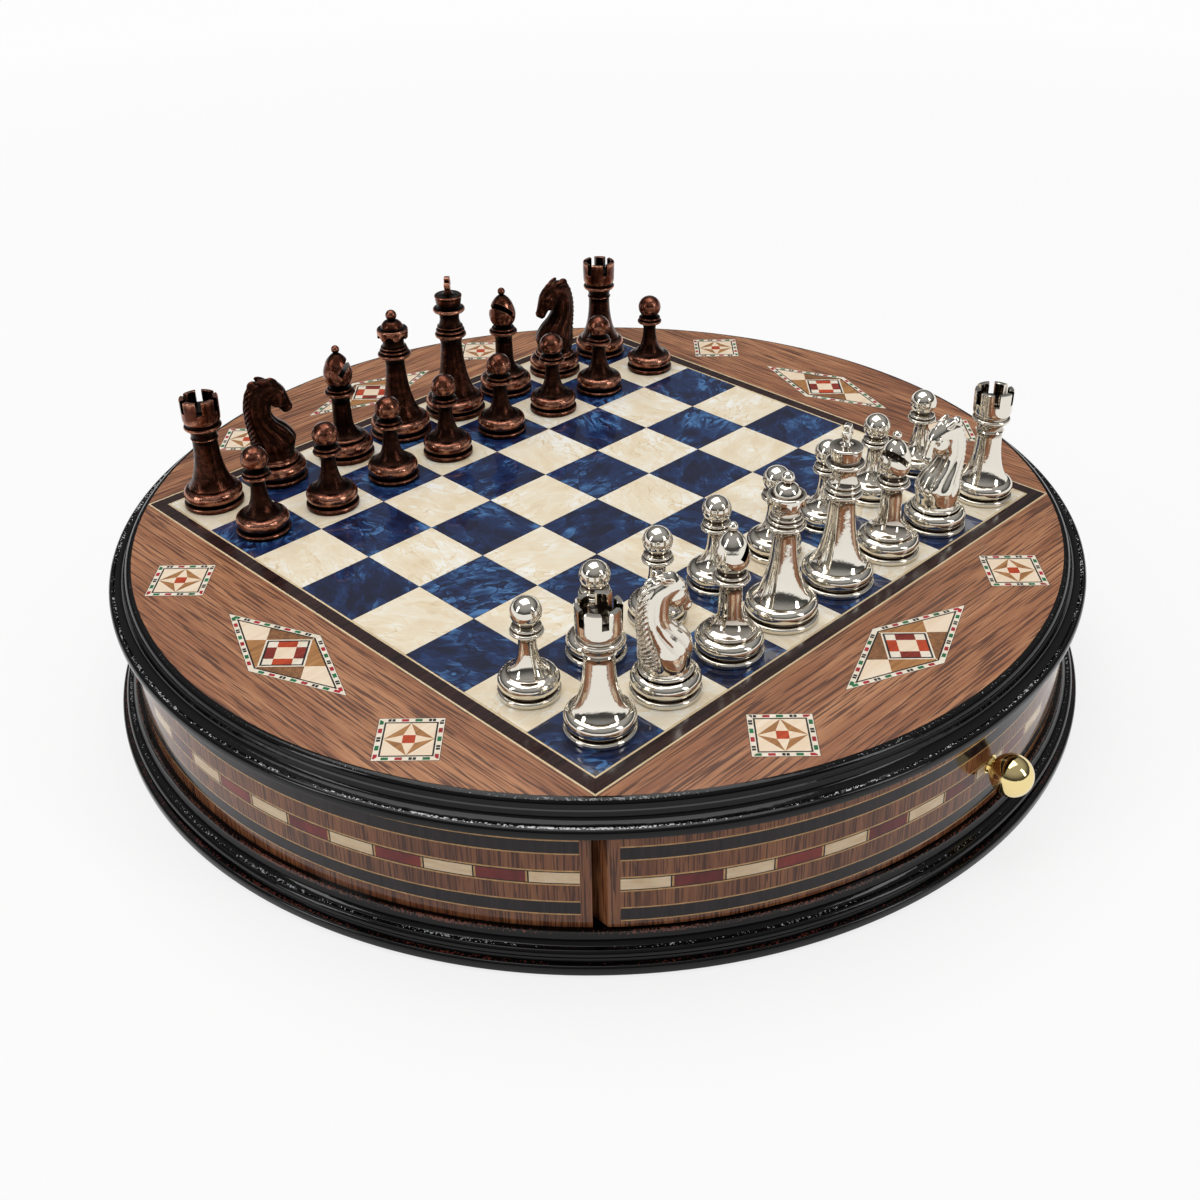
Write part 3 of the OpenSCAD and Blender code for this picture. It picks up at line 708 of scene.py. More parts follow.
def wall_skin(name, body, turn, radius, half, band_half, centre, gap):
    """A veneered face with its bands and its row of blocks, laid on the curved wall."""
    low, high = WALL_Z + gap, TOP_Z - gap
    rows = [low] + [centre + edge for edge in ROW_EDGES]
    columns, column_kinds = wall_columns(band_half)
    obj = draw_outline(name + "_veneer", [(0, low), (0, high)])
    bpy.ops.mesh.select_all(action="SELECT")
    shift(0, -radius, 0)
    swing(half)
    spin_round(88, radians(2 * half))
    for z in rows[1:]:
        cut((0, 0, z * MM), (0, 0, 1))
    for angle in columns:
        cut((0, 0, 0), (cos(radians(angle)), sin(radians(angle)), 0))
    leave()

    def choose(x, y, z):
        angle = degrees(atan2(x, -y))
        if not columns[0] < angle < columns[-1]:
            return "walnut"
        kind = ROW_KINDS[place_in(rows, z)]
        return column_kinds[place_in(columns[:-1], angle)] if kind == "block" else kind

    colour_faces(obj, WALL_FINISHES, choose)
    edit(obj)
    turn_outwards()
    if sum(f.normal.dot(Vector((f.center.x, f.center.y, 0))) for f in obj.data.polygons) < 0:
        flip(obj)
    apply_modifier(obj, "SOLIDIFY", thickness=SKIN * MM, offset=-1.0)
    if turn:
        turn_and_place(obj, turn)
    smooth(obj, 30)
    finish_piece(obj, body, [])


def wall_veneers():
    for name, turn in (("left_panel", -90), ("right_panel", 90)):
        wall_skin(name, "case", turn, *PANEL_FACE)
    for name, turn in (("near_drawer", 0), ("far_drawer", 180)):
        wall_skin(name, name, turn, *FRONT_FACE)


# ---- medallions


def flat_sheet(length, width, middle_y=0):
    """A flat rectangle, in millimetres, open for cutting."""
    bpy.ops.mesh.primitive_plane_add(size=1)
    obj = bpy.context.object
    edit(obj)
    size_to(length, width, 1)
    shift(0, middle_y, 0)
    return obj


def cut_line(point, direction, drop=False):
    """Cuts the open sheet along a line, and drops what lies to the line's right if asked."""
    across = Vector((direction[1], -direction[0], 0)).normalized()
    cut((point[0] * MM, point[1] * MM, 0), across, drop)


# The blocks of the mosaic borders: half length, half width of the line in a black one, low and high edge
BLOCK_HALF = 1.2
BLOCK_SPLIT = 0.14
BLOCK_LOW, BLOCK_HIGH = 0.5, 1.85
EDGE_LINE = 0.2
BLOCK_ORDER = ("green", "crimson", "black")


def mosaic_strip(length, places, start_slope, end_slope, first):
    """One side of a mosaic border: blocks in a light strip, cut to a mitre at both ends."""
    obj = flat_sheet(length, MOSAIC_W, MOSAIC_W / 2)
    for s in places:
        for edge in (-BLOCK_HALF, -BLOCK_SPLIT, BLOCK_SPLIT, BLOCK_HALF):
            cut_line((s + edge, 0), (0, 1))
    for y in (EDGE_LINE, BLOCK_LOW, BLOCK_HIGH):
        cut_line((0, y), (1, 0))
    cut_line((-length / 2, 0), (-cos(start_slope), -sin(start_slope)), True)
    cut_line((length / 2, 0), (-cos(end_slope), sin(end_slope)), True)
    leave()

    def choose(x, y, _):
        if y < EDGE_LINE:
            return "edge"
        for i, s in enumerate(places):
            kind = BLOCK_ORDER[(i + first) % 3]
            on_split = kind == "black" and abs(x - s) < BLOCK_SPLIT
            if abs(x - s) < BLOCK_HALF and BLOCK_LOW < y < BLOCK_HIGH and not on_split:
                return kind
        return "holly"

    colour_faces(obj, STRIP_FINISHES, choose)
    return obj


def square_field():
    """The star of a square medallion, in its fine black line."""
    line = SQUARE_MEDALLION / 2 - MOSAIC_W
    half = line - MOSAIC_LINE
    hub = STAR_HUB
    obj = flat_sheet(2 * line, 2 * line)
    for side in (-1, 1):
        for place in (half, hub):
            cut_line((side * place, 0), (0, 1))
            cut_line((0, side * place), (1, 0))
        for other in (-1, 1):
            cut_line((side * half, 0), (-side, other))
            cut_line((side * half, 0), (side * (hub - half), other * hub))
            cut_line((0, side * half), (other * hub, side * (hub - half)))
    leave()

    def choose(x, y, _):
        a, b = max(abs(x), abs(y)), min(abs(x), abs(y))
        if a > half:
            return "black"
        if a < hub:
            return "red"
        if b < hub * (half - a) / (half - hub):
            return "cream"
        return "brown" if a + b < half else "cream"

    colour_faces(obj, FIELD_FINISHES, choose)
    return obj


def square_medallion():
    half = SQUARE_MEDALLION / 2
    parts = [square_field()]
    quarter = radians(45)
    for i, turn in enumerate((0, 90, 180, 270)):
        places = [-6.75, -2.25, 2.25, 6.75] if i % 2 == 0 else [-9, -4.5, 0, 4.5, 9]
        strip = mosaic_strip(2 * half, places, quarter, quarter, i)
        turn_and_place(strip, 0, (0, -half, 0))
        turn_and_place(strip, turn)
        parts.append(strip)
    return join("square_medallion", parts)


def diamond_field():
    """The chequer of a diamond medallion, with a kite and two flanks at each end, in its fine black line."""
    shape = DIAMOND_W / DIAMOND_L
    shrink = hypot(DIAMOND_L, DIAMOND_W) / DIAMOND_W
    outer = DIAMOND_L / 2 - MOSAIC_W * shrink
    inner = DIAMOND_L / 2 - (MOSAIC_W + MOSAIC_LINE) * shrink
    side = (inner * shape - MOSAIC_LINE) / sqrt(2)
    rim = side - MOSAIC_LINE
    field = rim - CHEQUER_RIM
    obj = flat_sheet(2 * outer, 2 * outer * shape)
    for sx in (-1, 1):
        for sy in (-1, 1):
            for reach, drop in ((outer, True), (inner, False)):
                cut((sx * reach * MM, 0, 0), Vector((sx * shape, sy, 0)), drop)
    for reach in (side, rim, field, field / 2):
        for sign in (-1, 1):
            for way in ((1, 1), (1, -1)):
                cut_line((0, sign * reach * sqrt(2)), way)
    leave()

    def choose(x, y, _):
        if abs(x) / inner + abs(y) / (inner * shape) > 1:
            return "black"
        p, q = abs(x + y) / sqrt(2), abs(x - y) / sqrt(2)
        m = max(p, q)
        if m > side:
            if min(p, q) > side:
                return "cream"
            return "brown" if x * y > 0 else "deep"
        if m > rim:
            return "holly"
        if m > field:
            return "black"
        middle = (p < field / 2) + (q < field / 2)
        if middle == 1:
            return "red" if x * y < 0 else "rust"
        return "cream" if middle else "holly"

    colour_faces(obj, FIELD_FINISHES, choose)
    return obj


def diamond_medallion():
    length = hypot(DIAMOND_L, DIAMOND_W) / 2
    slope = atan2(DIAMOND_W, DIAMOND_L)
    parts = [diamond_field()]
    places = [-15.4 + 4.4 * i for i in range(8)]
    for i, (sx, sy) in enumerate(((1, -1), (1, 1), (-1, 1), (-1, -1))):
        # The strip's outer edge lies along the side, from one corner of the diamond to the next
        tip_first = sx * sy > 0
        ends = (slope, pi / 2 - slope) if tip_first else (pi / 2 - slope, slope)
        strip = mosaic_strip(length, places, *ends, i)
        corners = [(0, sy * DIAMOND_W / 2), (sx * DIAMOND_L / 2, 0)]
        start, end = corners[::-1] if tip_first else corners
        turn = degrees(atan2(end[1] - start[1], end[0] - start[0]))
        middle = ((start[0] + end[0]) / 2, (start[1] + end[1]) / 2, 0)
        turn_and_place(strip, turn, middle)
        parts.append(strip)
    return join("diamond_medallion", parts)


def lay_medallions(name, pattern, places, node):
    """Copies one medallion to all its places, gives the copies their thickness and joins them."""
    copies = []
    for i, (turn, place) in enumerate(places):
        copy = copy_of(pattern, name + str(i))
        turn_and_place(copy, turn, (*place, BOARD_Z + 0.02))
        copies.append(copy)
    bpy.data.objects.remove(pattern)
    obj = join(name, copies)
    edit(obj)
    bpy.ops.mesh.remove_doubles(threshold=MEET)
    leave()
    if obj.data.polygons[0].normal.z < 0:
        flip(obj)
    apply_modifier(obj, "SOLIDIFY", thickness=1.0 * MM, offset=-1.0)
    finish_piece(obj, "case", [], [node])


def turned_point(x, y, turn):
    t = radians(turn)
    return x * cos(t) - y * sin(t), x * sin(t) + y * cos(t)


def medallions():
    squares = []
    diamonds = []
    for side in (0, 90, 180, 270):
        diamonds.append((side, turned_point(0, -MEDALLION_MID, side)))
        for end in (-1, 1):
            squares.append((side + 45, turned_point(end * MEDALLION_SIDE, -MEDALLION_MID, side)))
    lay_medallions("square_medallion_inlays", square_medallion(), squares, "square_medallions")
    lay_medallions("diamond_medallion_inlays", diamond_medallion(), diamonds, "diamond_medallions")


# ---- knobs


def knobs():
    flange = FRONT_R + 0.04
    meet = asin(3 / BALL_R)
    outline = (
        [(0, flange), (3.7, flange), (3.7, flange + 0.3), (3.4, flange + 0.5), (3.0, flange + 0.6)]
        + [(2.8, flange + 1.1), (3.0, KNOB_Y - BALL_R * cos(meet))]
        + arc(0, KNOB_Y, BALL_R, degrees(meet) - 90, 90, 32)
    )
    for name, turn in (("near_drawer", 0), ("far_drawer", 180)):
        obj = turned(name + "_ball_knob", outline, 64)
        edit(obj)
        swing(90, "X")
        leave()
        if sum(v.co.y for v in obj.data.vertices) > 0:
            turn_and_place(obj, 180)
        turn_and_place(obj, turn, (0, 0, KNOB_Z))
        smooth(obj, 40)
        finish_piece(obj, name, [BRASS], [name + "_knob"])


# ---- men


def foot(r, bead_r):
    """The stepped foot that every man stands on: a thin disc, a groove and a broad bead."""
    return ([(0, 0), (r - 0.6, 0)] + curve((r - 0.6, 0), (r, 0), (r, 0.8), 4) + [(r, 1.5)]
            + curve((r, 1.6), (r - 0.2, 2.1), (r - 0.9, 2.3), 3) + [(r - 1.6, 2.5), (bead_r - 1.3, 2.9)]
            + curve((bead_r - 1.3, 3.2), (bead_r, 3.4), (bead_r, 5.6), 6)
            + curve((bead_r, 5.8), (bead_r - 0.2, 8.2), (bead_r - 3.0, 8.6), 8))


def pawn():
    return turned("pawn", foot(11.1, 10.8) + [(7.3, 8.8), (6.9, 9.3)]
        + curve((6.5, 9.6), (3.3, 13), (3.1, 21.4), 14)
        + curve((3.1, 22), (3.3, 24), (4.9, 24.4), 4)
        + bead(5.95, 25.2, 1.6) + bead(5.3, 27, 1.3)
        + [(4.2, 28.0), (3.7, 28.3)]
        + arc(0, 32.6, 5.5, -48, 90, 20))


def block(*sizes):
    """A block of these sizes, open for shaping."""
    bpy.ops.mesh.primitive_cube_add(size=1)
    obj = bpy.context.object
    edit(obj)
    size_to(*sizes)
    return obj


def carve_round(obj, count, make):
    """Cuts the same open shape out of an object a number of times round its axis."""
    cutters = []
    for i in range(count):
        cutter = make()
        leave()
        turn_and_place(cutter, 360 * i / count)
        cutters.append(cutter)
    carve(obj, cutters)


def rook():
    top = 49
    obj = turned("rook", foot(12.4, 12.2) + [(9.7, 8.8), (9.3, 9.4)]
        + curve((9.0, 9.8), (5.2, 16), (5.2, 30.2), 16)
        + [(5.3, 30.4), (5.7, 30.6), (5.75, 30.9), (5.5, 31.3), (5.3, 31.6)]
        + curve((5.3, 32.2), (5.6, 34.6), (6.9, 35.1), 5)
        + bead(7.8, 36.1, 1.9)
        + [(6.9, 37.2), (6.8, 37.6)]
        + curve((6.85, 37.9), (7.7, 38.3), (7.75, 40.4), 5)
        + [(7.75 + 0.02 * i, 40.4 + 1.1 * i) for i in range(1, 8)]
        + [(7.9, top - 0.3), (7.6, top), (6.2, top), (5.9, top - 0.3), (5.8, top - 5), (0, top - 5)])

    def slot():
        box = block(5, 2.4, 6.6)
        shift(7.1, 0, top - 2.3)
        # Cut finely so that the slot's inner faces have vertices to carry the painted shade
        bpy.ops.mesh.subdivide(number_cuts=4)
        return box

    carve_round(obj, 6, slot)
    return obj


def bishop():
    obj = turned("bishop", foot(12.6, 12.3) + [(9.6, 8.6)] + bead(9.4, 9.5, 1.7)
        + curve((8.2, 10.5), (4.6, 11.8), (4.3, 17), 10)
        + [(4.1, 25)]
        + curve((4.0, 26.4), (4.3, 29), (5.8, 29.8), 5)
        + bead(6.75, 30.7, 1.6) + bead(5.6, 32.3, 1.3)
        + [(4.2, 33.1)]
        + curve((3.9, 33.5), (8, 37.8), (5.3, 43.8), 14)
        + curve((5, 44.8), (3.6, 47.6), (1.1, 49.2), 8)
        + arc(0, 50.8, 1.8, -50, 90, 10))
    cutter = block(12, 16, 2.3)
    shift(6, 0, 0)
    swing(-47, "Y")
    shift(0.6, 0, 40.2)
    # Cut finely so that the slot's inner faces have vertices to carry the painted shade
    bpy.ops.mesh.subdivide(number_cuts=14)
    leave()
    carve(obj, [cutter])
    return obj


def queen():
    obj = turned("queen", foot(14, 13.5) + [(10.6, 8.8), (10.3, 9.2)]
        + curve((9.8, 9.8), (5.2, 17), (4.3, 34.2), 18)
        + curve((4.3, 35), (4.6, 37.4), (6.4, 38), 5)
        + bead(7.5, 38.9, 1.6) + bead(6.5, 40.7, 1.3) + bead(5.9, 42.3, 1.2)
        + curve((5.0, 43.2), (4.4, 45.4), (5.4, 46.8), 8)
        + [(6.5, 46.9)] + curve((6.7, 46.9), (6.9, 47.0), (6.95, 47.4), 3)
        + [(7.0, 50.2)] + curve((7.0, 50.6), (6.9, 51.2), (6.3, 51.3), 4) + [(5.5, 51.1)]
        + curve((5.2, 51.3), (4.6, 54.4), (1.8, 55.2), 10)
        + arc(0, 57.3, 2.5, -50, 90, 12))

    def scallop():
        bpy.ops.mesh.primitive_cylinder_add(vertices=24, radius=2 * MM, depth=4 * MM)
        cutter = bpy.context.object
        edit(cutter)
        swing(-90, "Y")
        shift(7.6, 0, 47.0)
        return cutter

    carve_round(obj, 7, scallop)
    return obj


def cross():
    """The king's cross: a block with four arms drawn out and flared, its edges eased."""
    obj = block(2.2, 2.8, 2.2)
    leave()
    for way in (Vector((1, 0, 0)), Vector((-1, 0, 0)), Vector((0, 0, 1)), Vector((0, 0, -1))):
        edit(obj, "DESELECT")
        leave()
        end = max(obj.data.polygons, key=lambda f: f.normal.dot(way) * 10 + f.center.dot(way))
        end.select = True
        edit(obj, None)
        bpy.ops.mesh.select_mode(type="FACE")
        bpy.ops.mesh.extrude_region_move(TRANSFORM_OT_translate={"value": way * (1.7 if way.x else 2.5) * MM})
        grow = (1, 1, 1.5) if way.x else (1.5, 1, 1)
        bpy.ops.transform.resize(value=grow, center_override=way * 3.6 * MM)
        leave()
    apply_modifier(obj, "BEVEL", width=0.55 * MM, segments=3, limit_method="ANGLE", angle_limit=radians(30))
    turn_and_place(obj, 0, (0, 0, 63.0))
    return obj


def king():
    body = turned("king", foot(14.1, 13.7) + [(10.8, 8.8), (10.5, 9.2)]
        + curve((9.9, 9.8), (5.8, 16.5), (4.9, 34.2), 18)
        + curve((4.9, 35), (5.2, 37.2), (6.5, 37.9), 5)
        + bead(7.3, 38.9, 1.8) + bead(6.7, 41, 1.4) + bead(6.0, 42.8, 1.2)
        + curve((5.2, 43.8), (3.9, 46.6), (5.0, 49.6), 10)
        + bead(7.4, 51.2, 1.9)
        + [(5.7, 52.3)]
        + curve((5.5, 52.8), (5.9, 55), (6.1, 57), 5)
        + bead(6.35, 57.6, 1.2)
        + [(5.8, 58.2), (5.2, 58.25), (4.5, 58.25), (3.8, 58.3), (3.1, 58.35)]
        + [(2.5, 58.5), (2.2, 58.8), (1.8, 59.3), (1.6, 59.8), (0, 59.8)])
    return join("king", [body, cross()])


# Stations up the knight's neck and along its head:
# middle x, middle z, angle of the spine, half depth, half width
KNIGHT_STATIONS = [
    (-0.2, 10.4, 90, 8.3, 8.2), (-0.3, 14.2, 91, 8.9, 8.5), (0, 18.2, 94, 9.6, 8.3),
    (-1.6, 22.4, 102, 8.4, 7.0), (-4.1, 26.8, 99, 6.7, 5.6), (-5.5, 31.2, 91, 5.8, 4.9),
    (-5.2, 35.8, 78, 5.9, 4.5), (-3.6, 40.0, 50, 6.1, 4.1), (0.3, 41.0, -8, 5.3, 3.9),
    (3.4, 38.6, -46, 4.7, 3.5), (5.6, 35.2, -56, 3.5, 2.7), (7.0, 32.6, -58, 2.8, 2.3),
    (7.8, 31.2, -58, 2.6, 2.3), (8.4, 30.1, -58, 1.5, 1.4)]


def station(s):
    """A smooth value between stations: s counts stations."""
    last = len(KNIGHT_STATIONS) - 1
    i = min(int(s), last - 1)
    t = s - i
    a, b, c, d = (np.array(KNIGHT_STATIONS[min(max(j, 0), last)], float) for j in (i - 1, i, i + 1, i + 2))
    return b + 0.5 * t * ((c - a) + t * ((2 * a - 5 * b + 4 * c - d) + t * (3 * (b - c) + d - a)))


def hollow(value, place, width):
    """A smooth hollow of depth 1 at a place."""
    return exp(-((value - place) / width) ** 2)


# Lines along the knight's neck: depth, angle from the breast, its change per station, and half width
SINEWS = ((0.13, 1.25, 0.1, 0.17), (0.09, 1.85, 0.08, 0.14), (0.1, 0.5, 0, 0.13), (-0.03, 0.85, 0, 0.2))


def knight_relief(s, along, across):
    """The carved surface of the neck, as a share of its radius: braided mane, sinews and breast."""
    side = abs(across)
    back = pi - side
    relief = 0.0
    if s < 8.2:
        fade = min(1.0, max(0.0, (s - 0.6) / 0.5)) * min(1.0, (8.2 - s) / 0.8)
        band = 1 / (1 + exp((back - 0.62) / 0.04))
        strokes = 0.5 + 0.5 * sin(2 * pi * (along / 1.9 - back * 2.6))
        relief += fade * band * (0.11 - 0.13 * strokes * min(1.0, back / 0.1))
        relief -= fade * 0.06 * hollow(back, 0.7, 0.06)
    if 0.6 < s < 7.4:
        fade = sin(pi * (s - 0.6) / 6.8)
        for depth, place, lean, width in SINEWS:
            relief -= fade * depth * hollow(side, place + lean * (s - 4), width)
    return relief


def knight_body():
    """The neck and head: a tube drawn along the spine, its rings shaped station by station."""
    rings, sides = 130, 72
    bpy.ops.mesh.primitive_circle_add(vertices=sides, radius=1, fill_type="NGON")
    obj = bpy.context.object
    edit(obj)
    for _ in range(rings - 1):
        bpy.ops.mesh.extrude_region_move(TRANSFORM_OT_translate={"value": (0, 0, 1)})
    leave()
    shapes = [station(k * (len(KNIGHT_STATIONS) - 1) / (rings - 1)) for k in range(rings)]
    along = [0.0]
    for p, q in zip(shapes, shapes[1:]):
        along.append(along[-1] + dist(p[:2], q[:2]))
    for v in obj.data.vertices:
        k = round(v.co.z)
        s = k * (len(KNIGHT_STATIONS) - 1) / (rings - 1)
        x, z, angle, depth, width = shapes[k]
        across = atan2(v.co.y, v.co.x)
        relief = 1 + knight_relief(s, along[k], across)
        u = depth * cos(across) * relief
        w = width * sin(across) * relief
        lean = radians(angle)
        v.co = Vector((x + u * sin(lean), w, z - u * cos(lean))) * MM
    edit(obj)
    turn_outwards()
    return obj


def lump(size, lean, place):
    """A rounded form with half sizes in millimetres, leaned about Y and X and put in place."""
    bpy.ops.mesh.primitive_uv_sphere_add(segments=32, ring_count=20, radius=1)
    obj = bpy.context.object
    edit(obj)
    size_to(*size)
    swing(lean[0], "Y")
    swing(lean[1], "X")
    shift(*place)
    leave()
    return obj


# Both sides of the knight's head: its cheeks, ears, brows and nostrils, then the hollows of its nostrils,
# eyes and ears, each with half sizes, lean and place
KNIGHT_FORMS = (
    ((3.5, 1.5, 4.1), (-35, 0), (2.7, 2.7, 37.4)), ((3.7, 0.9, 1.5), (32, -8), (-1.3, 2.5, 45.2)),
    ((1.6, 0.9, 0.8), (45, 0), (4.8, 2.7, 40.4)), ((1.3, 0.8, 1.2), (55, 0), (7.7, 1.8, 32.0)))
KNIGHT_HOLLOWS = (
    ((0.6, 0.5, 0.45), (45, 0), (8.8, 2.2, 31.8)), ((0.85, 0.5, 0.6), (50, 0), (5.2, 3.6, 38.9)),
    ((2.2, 0.35, 0.7), (32, -8), (-1.0, 3.4, 45.3)))


def pairs_of(forms):
    return [lump(size, (lean, side * roll), (x, side * y, z))
            for side in (-1, 1) for size, (lean, roll), (x, y, z) in forms]


def knight():
    """The knight: a turned foot under a carved neck and head, joined as one casting."""
    parts = [knight_body(), lump((2.7, 1.7, 2.5), (30, 0), (-6.2, 0, 44.5)),
             lump((2.6, 1.3, 1.2), (35, 0), (2.6, 0, 45.0))]
    obj = join("knight", parts + pairs_of(KNIGHT_FORMS))
    apply_modifier(obj, "REMESH", mode="VOXEL", voxel_size=0.3 * MM, use_smooth_shade=True)
    apply_modifier(obj, "SMOOTH", factor=0.5, iterations=2)
    carve(obj, pairs_of(KNIGHT_HOLLOWS))
    top = [(8.6, 10.5), (8.4, 11.4), (0, 11.4)]
    base = turned("knight", foot(12.6, 12.3) + [(9.9, 8.6)] + bead(9.7, 9.5, 1.8) + top)
    return join("knight", [base, obj])


def spiral(count):
    """Directions spread over a dome, thicker towards its top."""
    made = []
    for i in range(count):
        up = sqrt(1 - (i + 0.5) / count)
        turn = 2.39996 * i
        out = sqrt(1 - up * up)
        made.append(Vector((out * cos(turn), out * sin(turn), up)))
    return made


RUB_SPREAD = 6   # how many edges away a vertex's surroundings reach
# Painted shade: each vertex is darkened by how much the piece and the board hide it in these directions
SHADE_RAYS = 12    # directions in which each vertex is tested for being hidden
SHADE_REACH = 7.0  # how far, in millimetres


def values_of(items, name, size, kind=np.float32):
    values = np.zeros(len(items) * size, kind)
    items.foreach_get(name, values)
    return values.reshape(-1, size)


def mark_rubbing_and_shade(obj):
    """Keeps with each vertex how far it stands out, high on edges and beads, less painted shade where the
    piece itself or the board hides it, so it is low in grooves, slots and at the foot.
    """
    mesh = obj.data
    count = len(mesh.vertices)
    co = values_of(mesh.vertices, "co", 3) / MM
    normals = values_of(mesh.vertices, "normal", 3)
    links = values_of(mesh.edges, "vertices", 2, np.int32)
    middle = co.copy()
    for _ in range(RUB_SPREAD):
        total = np.zeros_like(middle)
        share = np.zeros(count)
        for a, b in ((0, 1), (1, 0)):
            np.add.at(total, links[:, a], middle[links[:, b]])
            np.add.at(share, links[:, a], 1)
        middle = total / np.maximum(share, 1)[:, None]
    out = ((co - middle) * normals).sum(1)
    tree = BVHTree.FromPolygons([tuple(p) for p in co], [tuple(f.vertices) for f in mesh.polygons])
    dome = spiral(SHADE_RAYS)
    # Painted shade: the share of rays that meet the piece, or the board below it, darkens the vertex
    painted_shade = np.zeros(count)
    for i in range(count):
        normal = Vector(normals[i])
        if normal.length < 0.5:
            continue
        turn = normal.to_track_quat("Z", "Y")
        start = Vector(co[i]) + normal * 0.08
        for way in dome:
            ray = turn @ way
            hit = tree.ray_cast(start, ray, SHADE_REACH)[3]
            if hit is None and ray.z < 0 and start.z < -ray.z * SHADE_REACH:
                hit = start.z / -ray.z
            if hit is not None:
                painted_shade[i] += (1 - 0.6 * hit / SHADE_REACH) / SHADE_RAYS
    # How far the vertex stands out, less the painted shade
    values = np.clip(0.5 + np.clip(out * 1.2, -0.4, 0.4) - 0.9 * painted_shade, 0, 1).astype(np.float32)
    layer = mesh.attributes.new("rub_and_shade", "FLOAT", "POINT")
    layer.data.foreach_set("value", values)


KINDS = {"pawn": pawn, "rook": rook, "knight": knight, "bishop": bishop, "queen": queen, "king": king}
PLATES = {"silver": ("nickel", NICKEL), "copper": ("antique_copper", COPPER)}
OFFICERS = ("rook", "knight", "bishop", "queen", "king", "bishop", "knight", "rook")

# How each man stands, from file a to h: X and Y off the middle of its square, and its turn
STANDS = {
    ("silver", 0): [(2.4, 0.2, 2), (1.2, -0.6, -12), (1.8, -1, -20), (0.4, 0.2, 10),
                    (1.4, -0.5, 17), (1.4, -1, -177), (0, -2.4, 165), (3, -3, 41)],
    ("silver", 1): [(0, 0.2, 0), (0, 0, 0), (0, 0.2, 0), (0, 0, 0),
                    (1.8, -1.3, 0), (1.4, -2, 0), (2, -2, 0), (2.6, -2.6, 0)],
    ("copper", 7): [(-1.6, 4.2, -2), (-1.6, 3.6, -12), (0, 0, -33), (-0.5, 0.5, 15),
                    (0, 0, 45), (0.1, -0.1, -165), (0.6, -0.6, 172), (0.65, -0.65, 10)],
    ("copper", 6): [(-0.4, 0.7, 0), (0.1, -2, 0), (1.4, -0.7, 0), (0.6, -0.3, 0),
                    (0.6, -0.6, 0), (1, -1, 0), (-0.2, -1.2, 0), (3.6, -1.2, 0)],
}


def men():
    patterns = {}
    for kind, make in KINDS.items():
        patterns[kind] = make()
        smooth(patterns[kind], 40)
        mark_rubbing_and_shade(patterns[kind])
    for (colour, rank), stands in STANDS.items():
        for file, (dx, dy, turn) in enumerate(stands):
            kind = OFFICERS[file] if rank in (0, 7) else "pawn"
            name = colour + "_" + kind
            if kind not in ("king", "queen"):
                name += "_" + "abcdefgh"[file]
            obj = copy_of(patterns[kind], name + "_cast")
            turn_and_place(obj, turn, ((file - 3.5) * SQUARE + dx, (rank - 3.5) * SQUARE + dy, BOARD_Z))
            slot, plate = PLATES[colour]
            finish_piece(obj, name, [plate], [name])
    for pattern in patterns.values():
        bpy.data.objects.remove(pattern)


# ---- studio


def ways_of_seeing(tree):
    """Whether a ray comes from the camera, and whether it comes off or through a clear surface."""
    path = add("LightPath", tree=tree).outputs
    return path["Is Camera Ray"], calc("MAXIMUM", path["Is Glossy Ray"], path["Is Transmission Ray"])


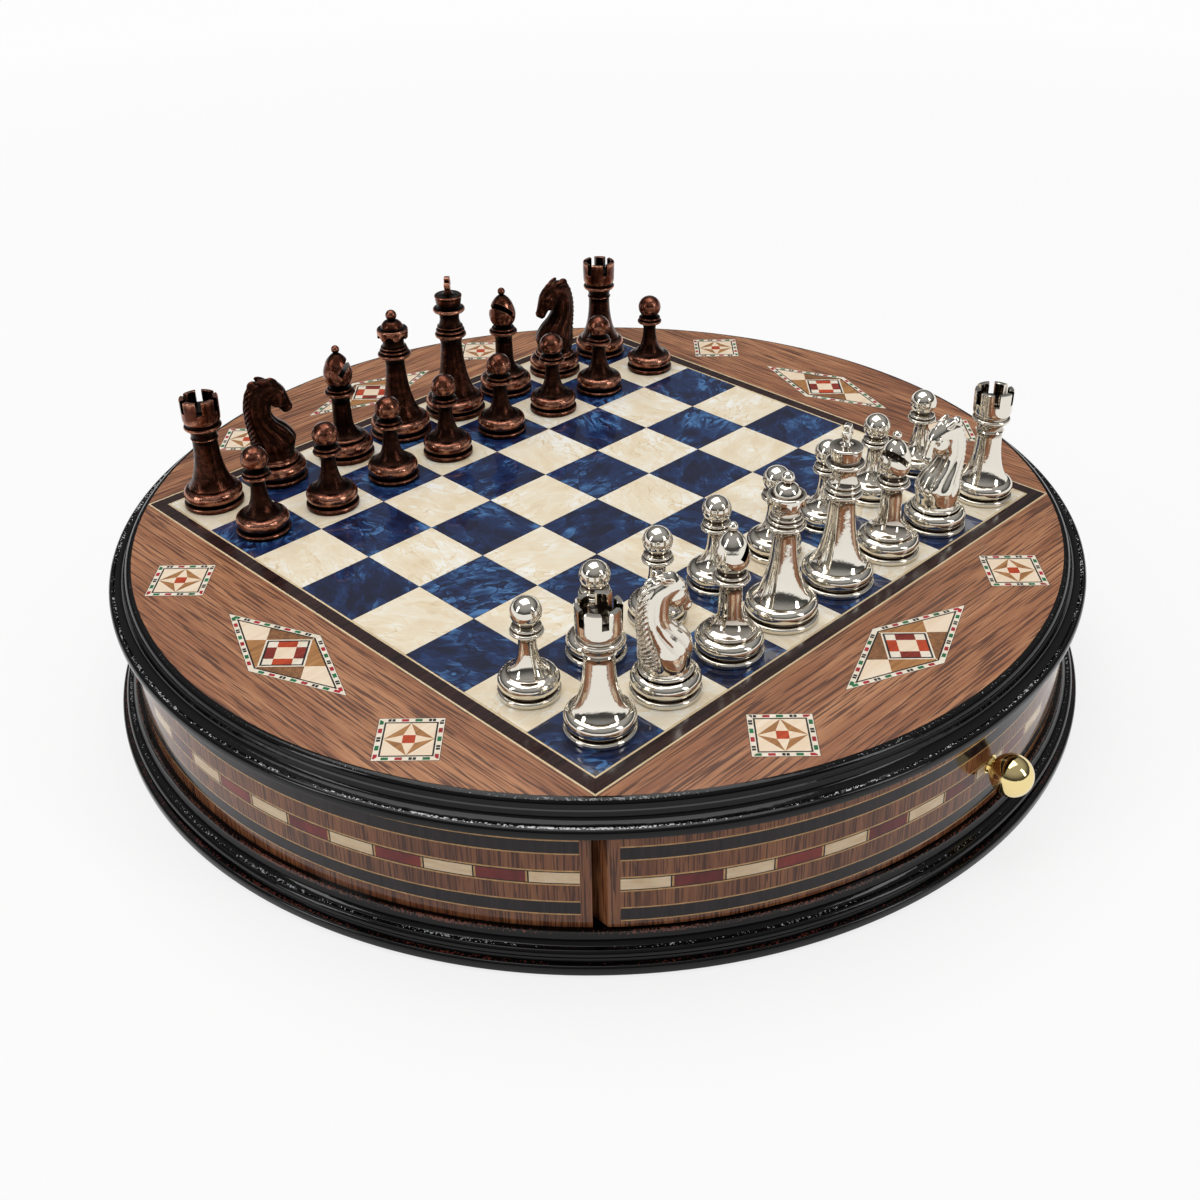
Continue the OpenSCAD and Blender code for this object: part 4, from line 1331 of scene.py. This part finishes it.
def floor():
    """A plain pale floor that keeps a soft shadow."""
    bpy.ops.mesh.primitive_circle_add(vertices=96, radius=6.0, fill_type="NGON")
    obj = bpy.context.object
    obj.name = "floor"
    made, coords = new_material("pale paper floor")
    tree = made.node_tree
    paper = add("BsdfDiffuse", inputs={"Color": paint("#F4F4F4")}, tree=tree).outputs["BSDF"]
    glow = add("Emission", inputs={"Color": shade(1), "Strength": 1.0}, tree=tree).outputs["Emission"]
    camera, mirrored = ways_of_seeing(tree)
    away = times(vector_calc("LENGTH", coords), 0.5)
    share = times(calc("MAXIMUM", camera, mirrored), ramp(away, (0.2, 0.8), (0.7, 0.97)))
    mixed = add("MixShader", inputs={0: share, 1: paper, 2: glow}).outputs["Shader"]
    add("OutputMaterial", inputs={"Surface": mixed})
    obj.data.materials.append(made)


def world():
    """A broad bright ceiling over a dim room, with a white backdrop round the horizon for what is seen."""
    made = bpy.data.worlds.new("studio room")
    made.use_nodes = True
    tree = made.node_tree
    tree.nodes.clear()
    high = split(add("TexCoord", tree=tree).outputs["Generated"])[2]
    room = ramp(high, (0, 0.05), (0.3, 0.07), (0.5, 0.25), (0.72, 0.38), (1, 0.4))
    backdrop = ramp(high, (0.1, 1), (0.16, 0))
    camera, mirrored = ways_of_seeing(tree)
    shown = calc("MAXIMUM", camera, times(mirrored, backdrop))
    glow = add("Background", inputs={"Color": blend(shown, room, shade(1)), "Strength": 1.0})
    add("OutputWorld", inputs={"Surface": glow.outputs["Background"]})
    bpy.context.scene.world = made


def lamp(name, place, aim, size, power):
    data = bpy.data.lights.new(name, "AREA")
    data.shape = "RECTANGLE"
    data.size, data.size_y = size
    data.energy = power
    obj = bpy.data.objects.new(name, data)
    bpy.context.scene.collection.objects.link(obj)
    way = Vector(aim) - Vector(place)
    obj.matrix_world = Matrix.Translation(place) @ way.to_track_quat("-Z", "Y").to_matrix().to_4x4()


def studio():
    floor()
    world()
    lamp("soft box over", (0.1, 0.3, 1.5), (0, 0, 0), (1.3, 1.3), 13.8)
    lamp("soft box left", (-1.4, 0.4, 0.9), (0, 0, 0.05), (0.3, 0.9), 4.6)
    lamp("soft box right", (0.4, -1.4, 0.9), (0, 0, 0.05), (0.3, 0.9), 4.6)
    scene = bpy.context.scene
    scene.view_settings.view_transform = "Standard"


dress_cad_nodes()
top_moulding()
base_moulding()
wall_veneers()
medallions()
knobs()
men()
studio()
